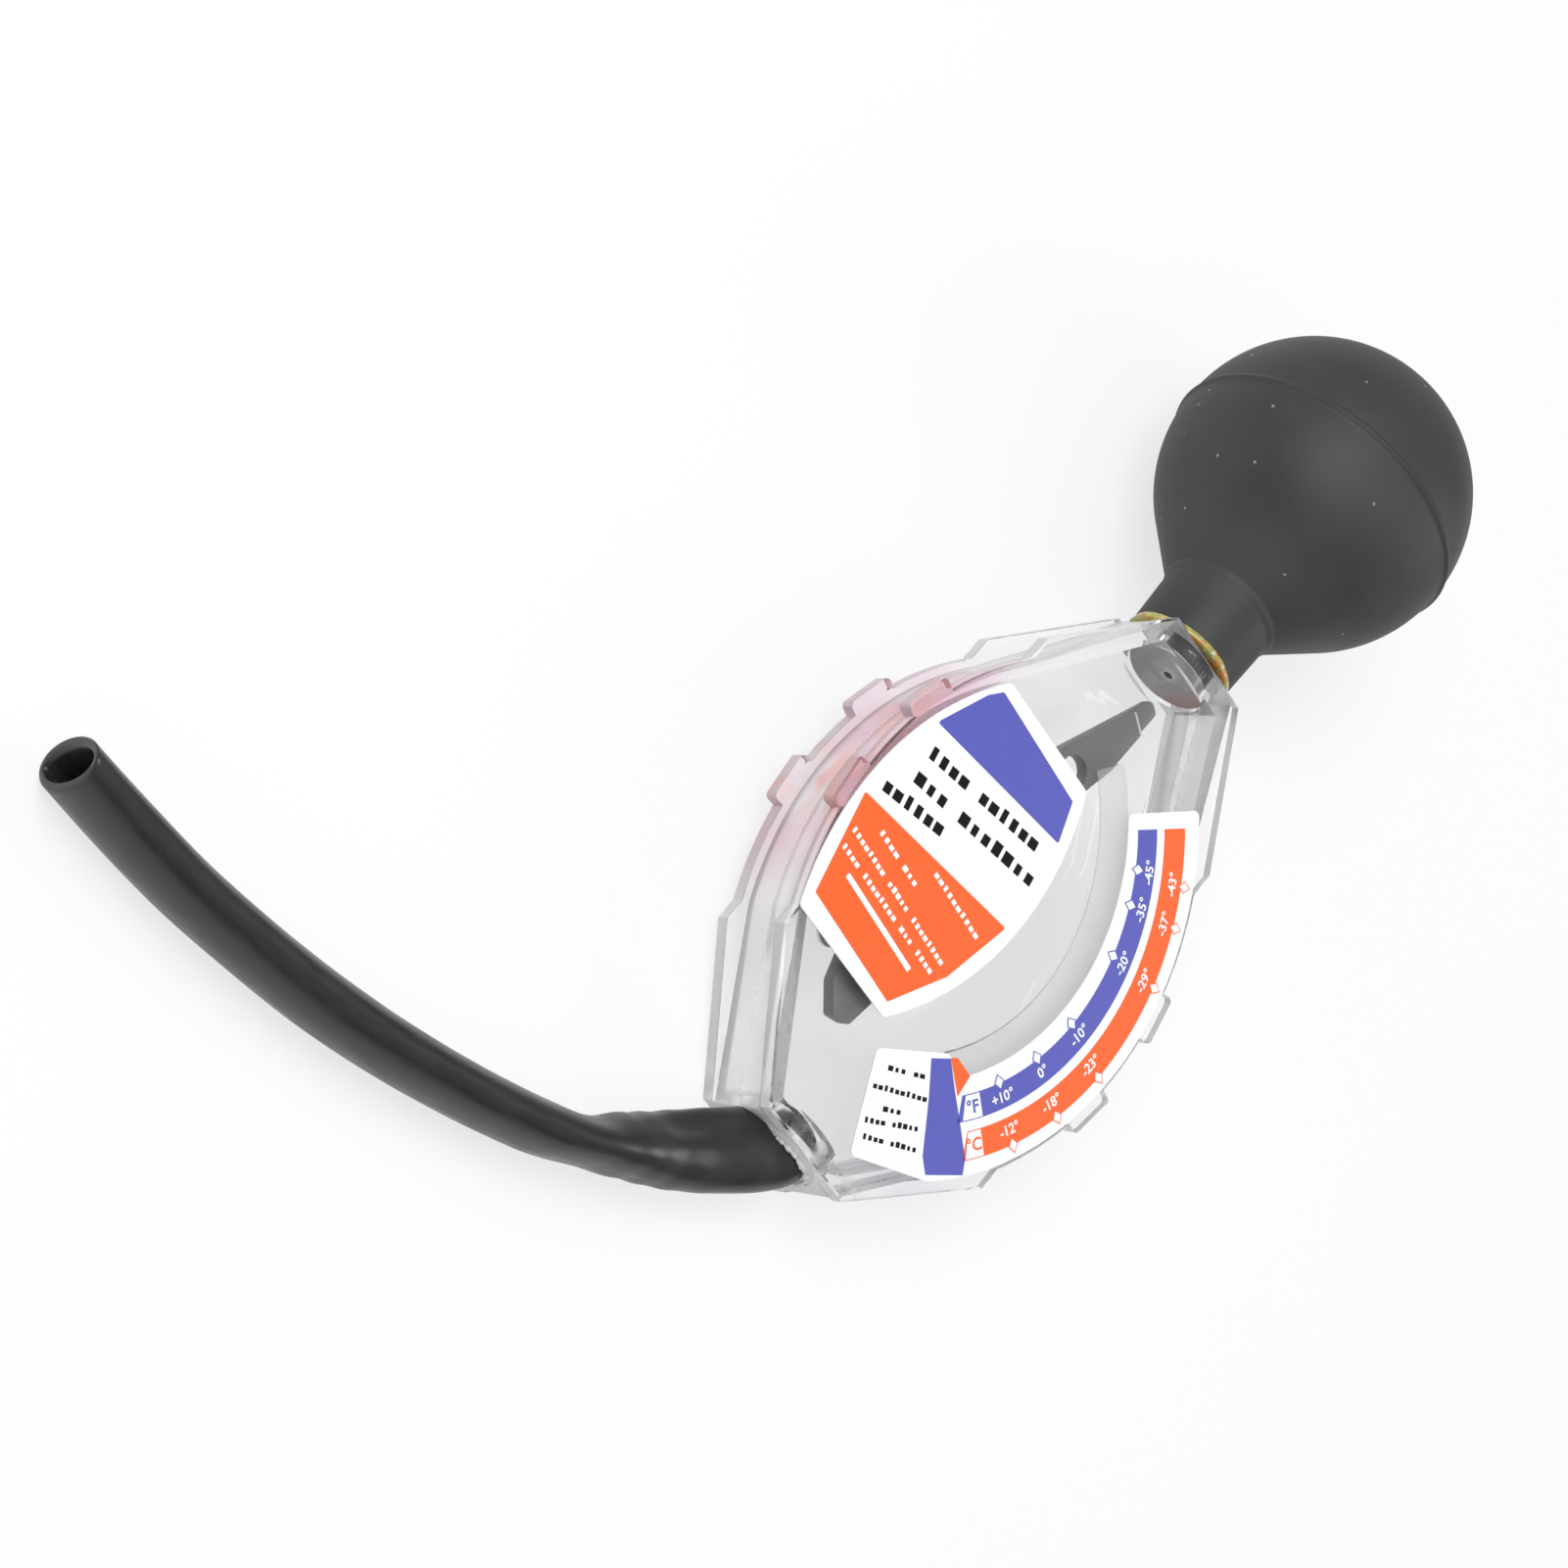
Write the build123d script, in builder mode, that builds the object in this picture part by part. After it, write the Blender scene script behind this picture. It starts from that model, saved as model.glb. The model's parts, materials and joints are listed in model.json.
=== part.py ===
import os
from math import acos, atan, atan2, cos, degrees, hypot, pi, radians, sin, sqrt, tan

from build123d import *

# An antifreeze tester: a squeeze bulb draws coolant up a hose into a flat clear housing,
# where a weighted pointer floats to an angle that is read against a curved scale.
# All lengths are in millimetres. It lies on its back: +Z is up, +Y runs towards the bulb,
# and the origin is under the middle of its box, hose apart, on the surface that it lies on.

# Housing, measured along its own long axis from the middle of its round sides
half_depth = 8.2
plate_thickness = 2.6
plate_edge_bevel = 0.3
top_end = 55.6
bottom_end = 48.0
top_half_width = 9.25
bottom_half_width = 9.6
side_radius = 53.2
side_half_width = 33.3
lower_shoulder_angle = 28.2
upper_shoulder_angle = 33.9
lower_step = 3.6
upper_step = 4.4
drum_recess = 1.2
drum_wall = 1.5
end_wall = 3.4
drum_corner_round = 3.0
cavity_corner_round = 2.0
socket_radius = 7.3

# Ears on the plates' round sides
ear_height = 1.9
ear_width = 8.2
ear_corner = 0.9
lower_ear_angle = -7.3
upper_ear_angle = 12.7

# Squeeze bulb and its neck
bulb_radius = 25.0
bulb_wall = 2.3
seam_offset = 1.1
seam_height = 0.5
seam_width = 1.6
seam_flat = 0.12
neck_radius = 9.55
neck_foot_radius = 9.2
neck_length = 12.2
neck_shoulder = 1.6
neck_rim_height = 0.45
neck_rim_width = 1.4
spigot_radius = 7.0
spigot_reach = 0.8
neck_bore_radius = 3.9

# Cement at the bulb's neck and at the hose
neck_cement_thickness = 0.9
neck_cement_overhang = 0.4
hose_cement_height = 1.2
hose_cement_width = 2.4
hose_cement_lip = 1.2

# Hose
hose_radius = 5.3
hose_bore_radius = 4.2
hose_insertion = 6.8
hose_askew = 1.4
hose_bend_depth = 0.4
hose_bend_offset = 0.2

# Pointer, its pivot, its weight and its stop; angles run clockwise from the bulb's side
pivot_offset = 19.0
pin_radius = 1.5
pin_bite = 1.2
pin_bevel = 0.25
back_boss_radius = 4.2
front_boss_radius = 3.0
hub_radius = 8.2
hub_bottom = -0.9
hub_top = 4.9
blade_bottom = 2.2
blade_thickness = 2.4
blade_left_angle = 20.8
blade_root_radius = 7.0
blade_root_angle = 50.0
blade_shoulder_radius = 31.7
blade_shoulder_angle = 34.8
blade_waist_radius = 37.3
blade_waist_angle = 31.0
blade_tip_radius = 48.5
blade_tip_angle = 23.7
blade_tip_round = 0.8
blade_hole_distance = 29.9
blade_hole_angle = 28.6
blade_hole_radius = 2.5
blade_land_length = 4.3
blade_land_depth = 0.6
weight_distance = 4.9
weight_angle = 207.0
weight_radius = 2.2
stop_angle = 160.0
stop_root_distance = 13.0
stop_shoulder_distance = 27.0
stop_tip_distance = 31.5
stop_half_width = 3.9
stop_tip_half_width = 1.6
stop_round = 0.8
stop_leg_distance = 18.0
stop_leg_radius = 2.4
stop_leg_seat = 1.0

# Stickers
label_thickness = 0.2
label_corner = 1.0
name_label_top = 24.2
name_label_top_left = -24.4
name_label_top_right = -2.6
name_label_right = 3.5
name_label_bottom_left = -27.2
name_label_left = -32.3
name_label_corner_angle = 151.0
label_spacing = 4.35
scale_outer_radius = 51.6
scale_width = 14.3
scale_top_angle = 41.2
scale_bar_angle = 133.5
scale_tail_angle = 150.4
scale_tail_overlap = 3.9
scale_tail_recess = 2.4
scale_notch_angle = 122.0

# Clearances
running_clearance = 0.05
fit_clearance = 0.02
side_gap = 0.3
cut_overrun = 1.0

# It lies on the bulb's moulding ridge and on the back plate's lower edge, so it is tilted.
# The ridge is pressed flat where it rests.
neck_start = top_end + neck_cement_thickness
neck_end = neck_start + neck_length
bulb_centre = neck_end + neck_shoulder + bulb_radius
seam_radius = bulb_radius + seam_height
seam_centre = bulb_centre - seam_offset
tilt = atan((seam_radius - seam_flat - half_depth) / (seam_centre + bottom_end))
cement_tip_radius = hose_radius + hose_cement_lip
box_far = bulb_centre * cos(tilt) + bulb_radius
box_near = -(bottom_end + hose_cement_height) * cos(tilt) - cement_tip_radius * sin(tilt)
origin_y = -(box_far + box_near) / 2
origin_z = bottom_end * sin(tilt) + half_depth * cos(tilt)
AXIS_PLANE = Plane(origin=(0, origin_y, origin_z), x_dir=(1, 0, 0), z_dir=(0, -sin(tilt), cos(tilt)))
LONG_AXIS = Axis(AXIS_PLANE.origin, AXIS_PLANE.y_dir)
FACING = Axis(AXIS_PLANE.origin, AXIS_PLANE.z_dir)
plate_level = half_depth - plate_thickness
side_centre = side_half_width - side_radius
scale_inner_radius = scale_outer_radius - scale_width

# The hose's route: out of the housing askew, bent sharply to the left, down to the surface
# and along it in one long flat curve to its open end.
hose_exit = AXIS_PLANE.from_local_coords((0, -bottom_end, 0)).Y
HOSE_ROUTE = [
    AXIS_PLANE.from_local_coords(Vector(hose_askew, hose_insertion - bottom_end, 0)),
    AXIS_PLANE.from_local_coords(Vector(-hose_bend_offset, hose_bend_depth - bottom_end, 0)),
    Vector(-5.0, hose_exit - 5.35, 7.5),
    Vector(-13.3, hose_exit - 13.55, 6.8),
    Vector(-25.3, hose_exit - 23.25, 5.9),
    Vector(-45.2, hose_exit - 32.15, 5.45),
    Vector(-65.6, hose_exit - 38.85, 5.4),
    Vector(-84.2, hose_exit - 42.75, 5.4),
    Vector(-100.5, hose_exit - 45.05, 5.4),
    Vector(-118.6, hose_exit - 45.6, 5.4),
]


def across_axis(along):
    """A plane square to the long axis, at a distance along it from the housing's middle."""
    return Plane(origin=AXIS_PLANE.from_local_coords((0, along, 0)), x_dir=(1, 0, 0), z_dir=AXIS_PLANE.y_dir)


def from_pivot(radius, angle):
    """A point at a distance from the pivot, at an angle clockwise from the bulb's side."""
    return (-pivot_offset + radius * sin(radians(angle)), radius * cos(radians(angle)))


def beside_stop(along, across):
    """A point along the stop arm's middle line from the pivot, and across it."""
    return from_pivot(hypot(along, across), stop_angle + degrees(atan2(across, along)))


def side_point(inset, angle):
    """A point on the right side's arc, drawn in by an inset, at an angle above the middle."""
    radius = side_radius - inset
    return (side_centre + radius * cos(radians(angle)), radius * sin(radians(angle)))


def plate_face():
    """A plate's face: two stepped tapers, two round sides and four ears."""
    low = side_point(0, -lower_shoulder_angle)
    high = side_point(0, upper_shoulder_angle)
    with BuildSketch() as face:
        with BuildLine():
            Polyline((0, -bottom_end), (bottom_half_width, -bottom_end), (low[0], low[1] - lower_step), low)
            ThreePointArc(low, (side_half_width, 0), high)
            Polyline(high, (high[0], high[1] + upper_step), (top_half_width, top_end), (0, top_end))
            Line((0, top_end), (0, -bottom_end))
        make_face()
        with Locations((side_centre, 0)):
            for angle in (lower_ear_angle, upper_ear_angle):
                with PolarLocations(side_radius, 1, start_angle=angle):
                    RectangleRounded(2 * ear_height, ear_width, ear_corner)
        mirror(about=Plane.YZ)
    return face.sketch


def inner_face(side_inset, end_inset, taper_inset, corner_round):
    """The smoother outline between the plates, drawn in from the plates' own."""
    low = side_point(side_inset, -lower_shoulder_angle)
    high = side_point(side_inset, upper_shoulder_angle)
    foot = (bottom_half_width - taper_inset, end_inset - bottom_end)
    head = (top_half_width - taper_inset, top_end - end_inset)
    with BuildSketch() as face:
        with BuildLine():
            Polyline((0, foot[1]), foot, low)
            ThreePointArc(low, (side_half_width - side_inset, 0), high)
            Polyline(high, head, (0, head[1]))
            mirror(about=Plane.YZ)
        make_face()
        fillet(face.vertices().filter_by(lambda corner: abs(corner.X) > bottom_half_width), corner_round)
    return face.sketch


def shell_half(side):
    """One moulded half of the housing; side is 1 for the front and -1 for the back."""
    with BuildPart() as half:
        with BuildSketch(AXIS_PLANE.offset(side * plate_level)):
            add(plate_face())
        extrude(amount=side * plate_thickness)
        outer = half.faces().sort_by(FACING)[-1 if side > 0 else 0]
        chamfer(outer.edges(), plate_edge_bevel)
        with BuildSketch(AXIS_PLANE):
            add(inner_face(drum_recess, 0, drum_recess / 2, drum_corner_round))
        extrude(amount=side * plate_level)
        with BuildSketch(AXIS_PLANE):
            add(inner_face(drum_recess + drum_wall, end_wall, drum_wall, cavity_corner_round))
        extrude(amount=side * plate_level, mode=Mode.SUBTRACT)
        with BuildSketch(across_axis(top_end + cut_overrun)):
            Circle(spigot_radius + fit_clearance)
        extrude(amount=-(end_wall + 2 * cut_overrun), mode=Mode.SUBTRACT)
        with BuildSketch(across_axis(-bottom_end - cut_overrun)):
            Circle(socket_radius)
        extrude(amount=end_wall + 2 * cut_overrun, mode=Mode.SUBTRACT)
    return half.part


def cut_pin_hole(start, reach):
    """A hole for the pivot pin, from one level towards another."""
    with BuildPart() as hole:
        with BuildSketch(AXIS_PLANE.offset(start)):
            with Locations((-pivot_offset, 0)):
                Circle(pin_radius + fit_clearance)
        extrude(amount=reach)
    return hole.part


os.makedirs("parts", exist_ok=True)

# Back shell: a tray with a boss for the pivot pin and a seat for the stop's leg
back_boss_top = hub_bottom - side_gap
with BuildPart() as back_shell:
    add(shell_half(-1))
    with BuildSketch(AXIS_PLANE.offset(-plate_level)):
        with Locations((-pivot_offset, 0)):
            Circle(back_boss_radius)
    extrude(amount=back_boss_top + plate_level)
    add(cut_pin_hole(-plate_level - pin_bite, plate_level + pin_bite + cut_overrun), mode=Mode.SUBTRACT)
    with BuildSketch(AXIS_PLANE.offset(-plate_level - stop_leg_seat)):
        with Locations(from_pivot(stop_leg_distance, stop_angle)):
            Circle(stop_leg_radius + fit_clearance)
    extrude(amount=stop_leg_seat + cut_overrun, mode=Mode.SUBTRACT)
back_shell.part.label = "back_shell"
export_step(back_shell.part, "parts/back_shell.step")

# Front shell: the same tray turned over, with a shorter boss
front_boss_bottom = hub_top + side_gap
with BuildPart() as front_shell:
    add(shell_half(1))
    with BuildSketch(AXIS_PLANE.offset(front_boss_bottom)):
        with Locations((-pivot_offset, 0)):
            Circle(front_boss_radius)
    extrude(amount=plate_level - front_boss_bottom)
    add(cut_pin_hole(front_boss_bottom - cut_overrun, plate_level + pin_bite - front_boss_bottom + cut_overrun),
        mode=Mode.SUBTRACT)
front_shell.part.label = "front_shell"
export_step(front_shell.part, "parts/front_shell.step")

# Pivot pin, held in both shells
pin_end = plate_level + pin_bite - fit_clearance
with BuildPart() as pivot_pin:
    with BuildSketch(AXIS_PLANE.offset(-pin_end)):
        with Locations((-pivot_offset, 0)):
            Circle(pin_radius)
    extrude(amount=2 * pin_end)
    chamfer(pivot_pin.edges().filter_by(GeomType.CIRCLE), pin_bevel)
pivot_pin.part.label = "pivot_pin"
export_step(pivot_pin.part, "parts/pivot_pin.step")

# Pointer: a hub with a bore for the pin, a seat for the weight, and a blade with a round hole
with BuildPart() as pointer:
    with BuildSketch(AXIS_PLANE.offset(hub_bottom)):
        with Locations((-pivot_offset, 0)):
            Circle(hub_radius)
    extrude(amount=hub_top - hub_bottom)
    with BuildSketch(AXIS_PLANE.offset(blade_bottom)):
        with BuildLine():
            Polyline(
                from_pivot(blade_root_radius, blade_left_angle),
                from_pivot(blade_tip_radius, blade_left_angle),
                from_pivot(blade_tip_radius, blade_tip_angle),
                from_pivot(blade_waist_radius, blade_waist_angle),
                from_pivot(blade_shoulder_radius, blade_shoulder_angle),
                from_pivot(blade_root_radius, blade_root_angle),
                close=True,
            )
        blade_face = make_face()
        fillet(blade_face.vertices().sort_by(Axis.Y)[-2:], blade_tip_round)
    extrude(amount=blade_thickness)
    with BuildSketch(AXIS_PLANE.offset(blade_bottom - cut_overrun)):
        with Locations(from_pivot(blade_hole_distance, blade_hole_angle)):
            Circle(blade_hole_radius)
    extrude(amount=blade_thickness + 2 * cut_overrun, mode=Mode.SUBTRACT)
    with BuildSketch(AXIS_PLANE.offset(blade_bottom + blade_thickness - blade_land_depth)):
        with Locations((-pivot_offset, 0)):
            Circle(blade_tip_radius + cut_overrun)
            Circle(blade_tip_radius - blade_land_length, mode=Mode.SUBTRACT)
    extrude(amount=blade_land_depth + cut_overrun, mode=Mode.SUBTRACT)
    with BuildSketch(AXIS_PLANE.offset(hub_bottom - cut_overrun)):
        with Locations((-pivot_offset, 0)):
            Circle(pin_radius + running_clearance)
        with Locations(from_pivot(weight_distance, weight_angle)):
            Circle(weight_radius + fit_clearance)
    extrude(amount=hub_top - hub_bottom + 2 * cut_overrun, mode=Mode.SUBTRACT)
pointer.part.label = "pointer"
export_step(pointer.part, "parts/pointer.step")

# Weight: a metal slug pressed into the hub
with BuildPart() as pointer_weight:
    with BuildSketch(AXIS_PLANE.offset(hub_bottom)):
        with Locations(from_pivot(weight_distance, weight_angle)):
            Circle(weight_radius)
    extrude(amount=hub_top - hub_bottom)
    chamfer(pointer_weight.edges().filter_by(GeomType.CIRCLE), pin_bevel)
pointer_weight.part.label = "pointer_weight"
export_step(pointer_weight.part, "parts/pointer_weight.step")

# Stop: a blunt arm level with the blade, on a leg that stands in the back shell
with BuildPart() as pointer_stop:
    with BuildSketch(AXIS_PLANE.offset(blade_bottom)):
        with BuildLine():
            Polyline(
                beside_stop(stop_root_distance, stop_half_width),
                beside_stop(stop_shoulder_distance, stop_half_width),
                beside_stop(stop_tip_distance, stop_tip_half_width),
                beside_stop(stop_tip_distance, -stop_tip_half_width),
                beside_stop(stop_shoulder_distance, -stop_half_width),
                beside_stop(stop_root_distance, -stop_half_width),
                close=True,
            )
        stop_face = make_face()
        fillet(stop_face.vertices(), stop_round)
    extrude(amount=blade_thickness)
    with BuildSketch(AXIS_PLANE.offset(blade_bottom)):
        with Locations(from_pivot(stop_leg_distance, stop_angle)):
            Circle(stop_leg_radius)
    extrude(amount=-(blade_bottom + plate_level + stop_leg_seat - fit_clearance))
pointer_stop.part.label = "pointer_stop"
export_step(pointer_stop.part, "parts/pointer_stop.step")

# Squeeze bulb: one hollow rubber moulding with its neck and the spigot that goes into the housing
rim_start = neck_end - neck_rim_width
spigot_end = top_end - end_wall - spigot_reach
rim_radius = neck_radius + neck_rim_height
neck_reach = hypot(rim_radius, bulb_centre - neck_end)
touch_angle = atan2(rim_radius, bulb_centre - neck_end) + acos(bulb_radius / neck_reach)
cone_touch = (bulb_radius * sin(touch_angle), bulb_centre - bulb_radius * cos(touch_angle))
cavity_radius = bulb_radius - bulb_wall
cavity_start = bulb_centre - sqrt(cavity_radius**2 - neck_bore_radius**2)
with BuildPart() as squeeze_bulb:
    with BuildSketch(AXIS_PLANE):
        with BuildLine():
            Polyline(
                (neck_bore_radius, spigot_end),
                (spigot_radius, spigot_end),
                (spigot_radius, neck_start),
                (neck_foot_radius, neck_start),
                (neck_radius, rim_start),
                (rim_radius, rim_start + neck_rim_height),
                (rim_radius, neck_end),
                cone_touch,
            )
            ThreePointArc(cone_touch, (bulb_radius, bulb_centre), (0, bulb_centre + bulb_radius))
            Line((0, bulb_centre + bulb_radius), (0, bulb_centre + cavity_radius))
            ThreePointArc((0, bulb_centre + cavity_radius), (cavity_radius, bulb_centre),
                          (neck_bore_radius, cavity_start))
            Line((neck_bore_radius, cavity_start), (neck_bore_radius, spigot_end))
        make_face()
    revolve(axis=LONG_AXIS)
    with BuildSketch(AXIS_PLANE):
        with BuildLine():
            ridge_foot = (bulb_radius - seam_height, seam_centre - seam_width / 2)
            ridge_head = (bulb_radius - seam_height, seam_centre + seam_width / 2)
            ThreePointArc(ridge_foot, (seam_radius, seam_centre), ridge_head)
            Line(ridge_head, ridge_foot)
        make_face()
    revolve(axis=LONG_AXIS)
    split(bisect_by=Plane.XY, keep=Keep.TOP)
squeeze_bulb.part.label = "squeeze_bulb"
export_step(squeeze_bulb.part, "parts/squeeze_bulb.step")

# Amber cement: a ring squeezed out between the neck's foot and the housing's top
with BuildPart() as neck_cement:
    with BuildSketch(across_axis(top_end)):
        Circle(neck_foot_radius + neck_cement_overhang)
        Circle(spigot_radius + fit_clearance, mode=Mode.SUBTRACT)
    extrude(amount=neck_cement_thickness)
    rims = neck_cement.edges().filter_by(GeomType.CIRCLE).group_by(SortBy.RADIUS)[-1]
    fillet(rims, neck_cement_thickness / 3)
neck_cement.part.label = "neck_cement"
export_step(neck_cement.part, "parts/neck_cement.step")

# Hose: a plain open tube; each bend's arc is as large as its two runs allow
legs = [after - before for before, after in zip(HOSE_ROUTE, HOSE_ROUTE[1:])]
turns = [before.get_angle(after) for before, after in zip(legs, legs[1:])]
bend_radii = []
for before, after, turn in zip(legs, legs[1:], turns):
    bend_radii.append(0.45 * min(before.length, after.length) / tan(radians(turn) / 2))
with BuildPart() as hose:
    with BuildLine() as hose_path:
        FilletPolyline(*HOSE_ROUTE, radius=bend_radii)
    with BuildSketch(Plane(origin=HOSE_ROUTE[0], z_dir=legs[0])):
        Circle(hose_radius)
        Circle(hose_bore_radius, mode=Mode.SUBTRACT)
    sweep(path=hose_path.line)
hose.part.label = "hose"
export_step(hose.part, "parts/hose.step")

# Frosted cement: fills the housing's socket round the hose and stands out as a low bead
with BuildPart() as hose_cement:
    with BuildSketch(AXIS_PLANE):
        with BuildLine():
            Polyline(
                (0, end_wall - bottom_end),
                (socket_radius - fit_clearance, end_wall - bottom_end),
                (socket_radius - fit_clearance, -bottom_end),
                (hose_radius + hose_cement_width, -bottom_end),
                (cement_tip_radius, -bottom_end - hose_cement_height),
                (0, -bottom_end - hose_cement_height),
                close=True,
            )
        make_face()
    revolve(axis=LONG_AXIS)
    with BuildLine() as core_path:
        FilletPolyline(*HOSE_ROUTE[:4], radius=bend_radii[:2])
    with BuildSketch(Plane(origin=HOSE_ROUTE[0], z_dir=legs[0])):
        Circle(hose_radius + fit_clearance)
    sweep(path=core_path.line, mode=Mode.SUBTRACT)
hose_cement.part.label = "hose_cement"
export_step(hose_cement.part, "parts/hose_cement.step")

# Name label: a sticker on the front face, left of the scale
with BuildPart() as name_label:
    with BuildSketch(AXIS_PLANE.offset(half_depth)):
        with BuildLine():
            top_left = (name_label_top_left, name_label_top)
            top_right = (name_label_top_right, name_label_top)
            corner_reach = scale_inner_radius - scale_tail_overlap - label_spacing
            bottom_right = from_pivot(corner_reach, name_label_corner_angle)
            bottom_left = (name_label_bottom_left, bottom_right[1])
            Line(top_left, top_right)
            ThreePointArc(top_right, (name_label_right, 0), bottom_right)
            Line(bottom_right, bottom_left)
            ThreePointArc(bottom_left, (name_label_left, 0), top_left)
        name_face = make_face()
        fillet(name_face.vertices(), label_corner)
    extrude(amount=label_thickness)
name_label.part.label = "name_label"
export_step(name_label.part, "parts/name_label.step")

# Scale label: a curved sticker round the pivot, with a tail beside the scale's warm end
scale_middle_angle = (scale_top_angle + scale_bar_angle) / 2
with BuildPart() as scale_label:
    with BuildSketch(AXIS_PLANE.offset(half_depth)):
        with BuildLine():
            ThreePointArc(
                from_pivot(scale_outer_radius, scale_top_angle),
                from_pivot(scale_outer_radius, scale_middle_angle),
                from_pivot(scale_outer_radius, scale_bar_angle),
            )
            Polyline(
                from_pivot(scale_outer_radius, scale_bar_angle),
                from_pivot(scale_outer_radius - scale_tail_recess, scale_tail_angle),
                from_pivot(scale_inner_radius - scale_tail_overlap, scale_tail_angle),
                from_pivot(scale_inner_radius - scale_tail_overlap, (scale_notch_angle + scale_bar_angle) / 2),
                from_pivot(scale_inner_radius, scale_notch_angle),
            )
            ThreePointArc(
                from_pivot(scale_inner_radius, scale_notch_angle),
                from_pivot(scale_inner_radius, scale_middle_angle),
                from_pivot(scale_inner_radius, scale_top_angle),
            )
            Line(from_pivot(scale_inner_radius, scale_top_angle), from_pivot(scale_outer_radius, scale_top_angle))
        scale_face = make_face()
        fillet(scale_face.vertices(), label_corner)
    extrude(amount=label_thickness)
scale_label.part.label = "scale_label"
export_step(scale_label.part, "parts/scale_label.step")

hose_section = pi * (hose_radius**2 - hose_bore_radius**2)
hose_length = hose_path.wire().length
print("tilt in degrees", degrees(tilt), "origin", origin_y, origin_z)
print("hose bend radii", [round(radius, 1) for radius in bend_radii], "turns", [round(turn, 1) for turn in turns])
print("hose runs", [round(leg.length, 1) for leg in legs], "length", round(hose_length, 2))
print("hose volume", hose.part.volume, "section times length", hose_section * hose_length)
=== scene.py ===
import json
from math import acos, atan2, cos, degrees, exp, hypot, pi, radians, sin, sqrt, tan

import bmesh
import bpy
from mathutils import Matrix, Vector


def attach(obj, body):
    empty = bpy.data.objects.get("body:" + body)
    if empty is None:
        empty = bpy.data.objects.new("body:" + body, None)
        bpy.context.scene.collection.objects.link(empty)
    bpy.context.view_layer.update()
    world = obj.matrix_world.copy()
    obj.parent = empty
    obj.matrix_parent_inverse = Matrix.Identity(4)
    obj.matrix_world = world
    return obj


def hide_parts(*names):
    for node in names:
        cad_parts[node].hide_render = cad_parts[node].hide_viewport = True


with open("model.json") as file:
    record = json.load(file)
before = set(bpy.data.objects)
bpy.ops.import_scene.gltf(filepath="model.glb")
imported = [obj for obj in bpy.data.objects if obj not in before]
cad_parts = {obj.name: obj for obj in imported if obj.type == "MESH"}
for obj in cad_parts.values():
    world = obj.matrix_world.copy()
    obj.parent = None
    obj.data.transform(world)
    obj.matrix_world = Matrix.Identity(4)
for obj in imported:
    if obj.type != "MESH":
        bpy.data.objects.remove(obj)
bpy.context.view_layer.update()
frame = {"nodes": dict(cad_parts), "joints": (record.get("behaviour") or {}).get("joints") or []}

scene = bpy.context.scene

# The camera stands low on the side of the hose's open end and is rolled, so that the
# tester runs from the bottom left of the picture to the bulb at its top right.
CAMERA_PLACE = Vector((-0.27287, -0.33630, 0.42557))
CAMERA_RIGHT = Vector((0.53481, 0.51740, 0.66804))
CAMERA_UP = Vector((-0.73142, 0.67933, 0.05940))
CAMERA_BACK = Vector((-0.42309, -0.52039, 0.74175))
SENSOR_WIDTH = 36
FOCAL_LENGTH = 89.94
NEAREST_SEEN = 0.02
FURTHEST_SEEN = 20


def set_in_scene(name, data):
    """A new object of the scene, which holds a mesh, a curve, a lamp or a lens."""
    thing = bpy.data.objects.new(name, data)
    scene.collection.objects.link(thing)
    return thing


lens = bpy.data.cameras.new("camera")
lens.sensor_width = SENSOR_WIDTH
lens.lens = FOCAL_LENGTH
lens.clip_start = NEAREST_SEEN
lens.clip_end = FURTHEST_SEEN
camera = set_in_scene("camera", lens)
camera_turn = Matrix((CAMERA_RIGHT, CAMERA_UP, CAMERA_BACK)).transposed().to_4x4()
camera.matrix_world = Matrix.Translation(CAMERA_PLACE) @ camera_turn
scene.camera = camera

# The hose is black extruded rubber, cemented into the housing's lower end. It comes out
# flattened, folds over to the left where it kinks, and then stands on its narrow side.
# It lies in one long curve and ends in a plain slanting cut. The photograph shows all of it.
MM = 0.001
swing = frame["joints"][0]
FACING = -Vector(swing["axis"]).normalized()
ACROSS = Vector((1, 0, 0))
ALONG = FACING.cross(ACROSS).normalized()
TILT = atan2(ALONG.z, ALONG.y)
PIVOT_OFFSET = 19.0
HOUSING_MIDDLE = Vector(swing["pos_m"]) + PIVOT_OFFSET * MM * ACROSS


def on_housing(across, along, level):
    """A point of the housing's own axes, in millimetres, as a point of the frame."""
    return HOUSING_MIDDLE + MM * (across * ACROSS + along * ALONG + level * FACING)


HOSE_ROUTE = [
    on_housing(0.7, -44.0, 0.0),
    on_housing(-0.2, -47.6, 0.0),
    Vector((-0.0053, -0.0878, 0.0079)),
    Vector((-0.0138, -0.0958, 0.0073)),
    Vector((-0.0252, -0.1060, 0.0072)),
    Vector((-0.0452, -0.1148, 0.0069)),
    Vector((-0.0656, -0.1215, 0.0069)),
    Vector((-0.0842, -0.1254, 0.0070)),
    Vector((-0.1002, -0.1277, 0.0071)),
    Vector((-0.1171, -0.1282, 0.0071)),
]
HOSE_WALL = 1.15 * MM
HOSE_SIDES = 64
HOSE_RING_STEP = 0.9 * MM
HOSE_EDGE = 0.22 * MM
HOSE_CREASE = 50
ROUTE_STEPS = 24
DRAWN_SCALE = 0.05
HOSE_BLACK = (0.02, 0.02, 0.021)
HOSE_DUST = (0.1, 0.1, 0.1, 1)
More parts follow.
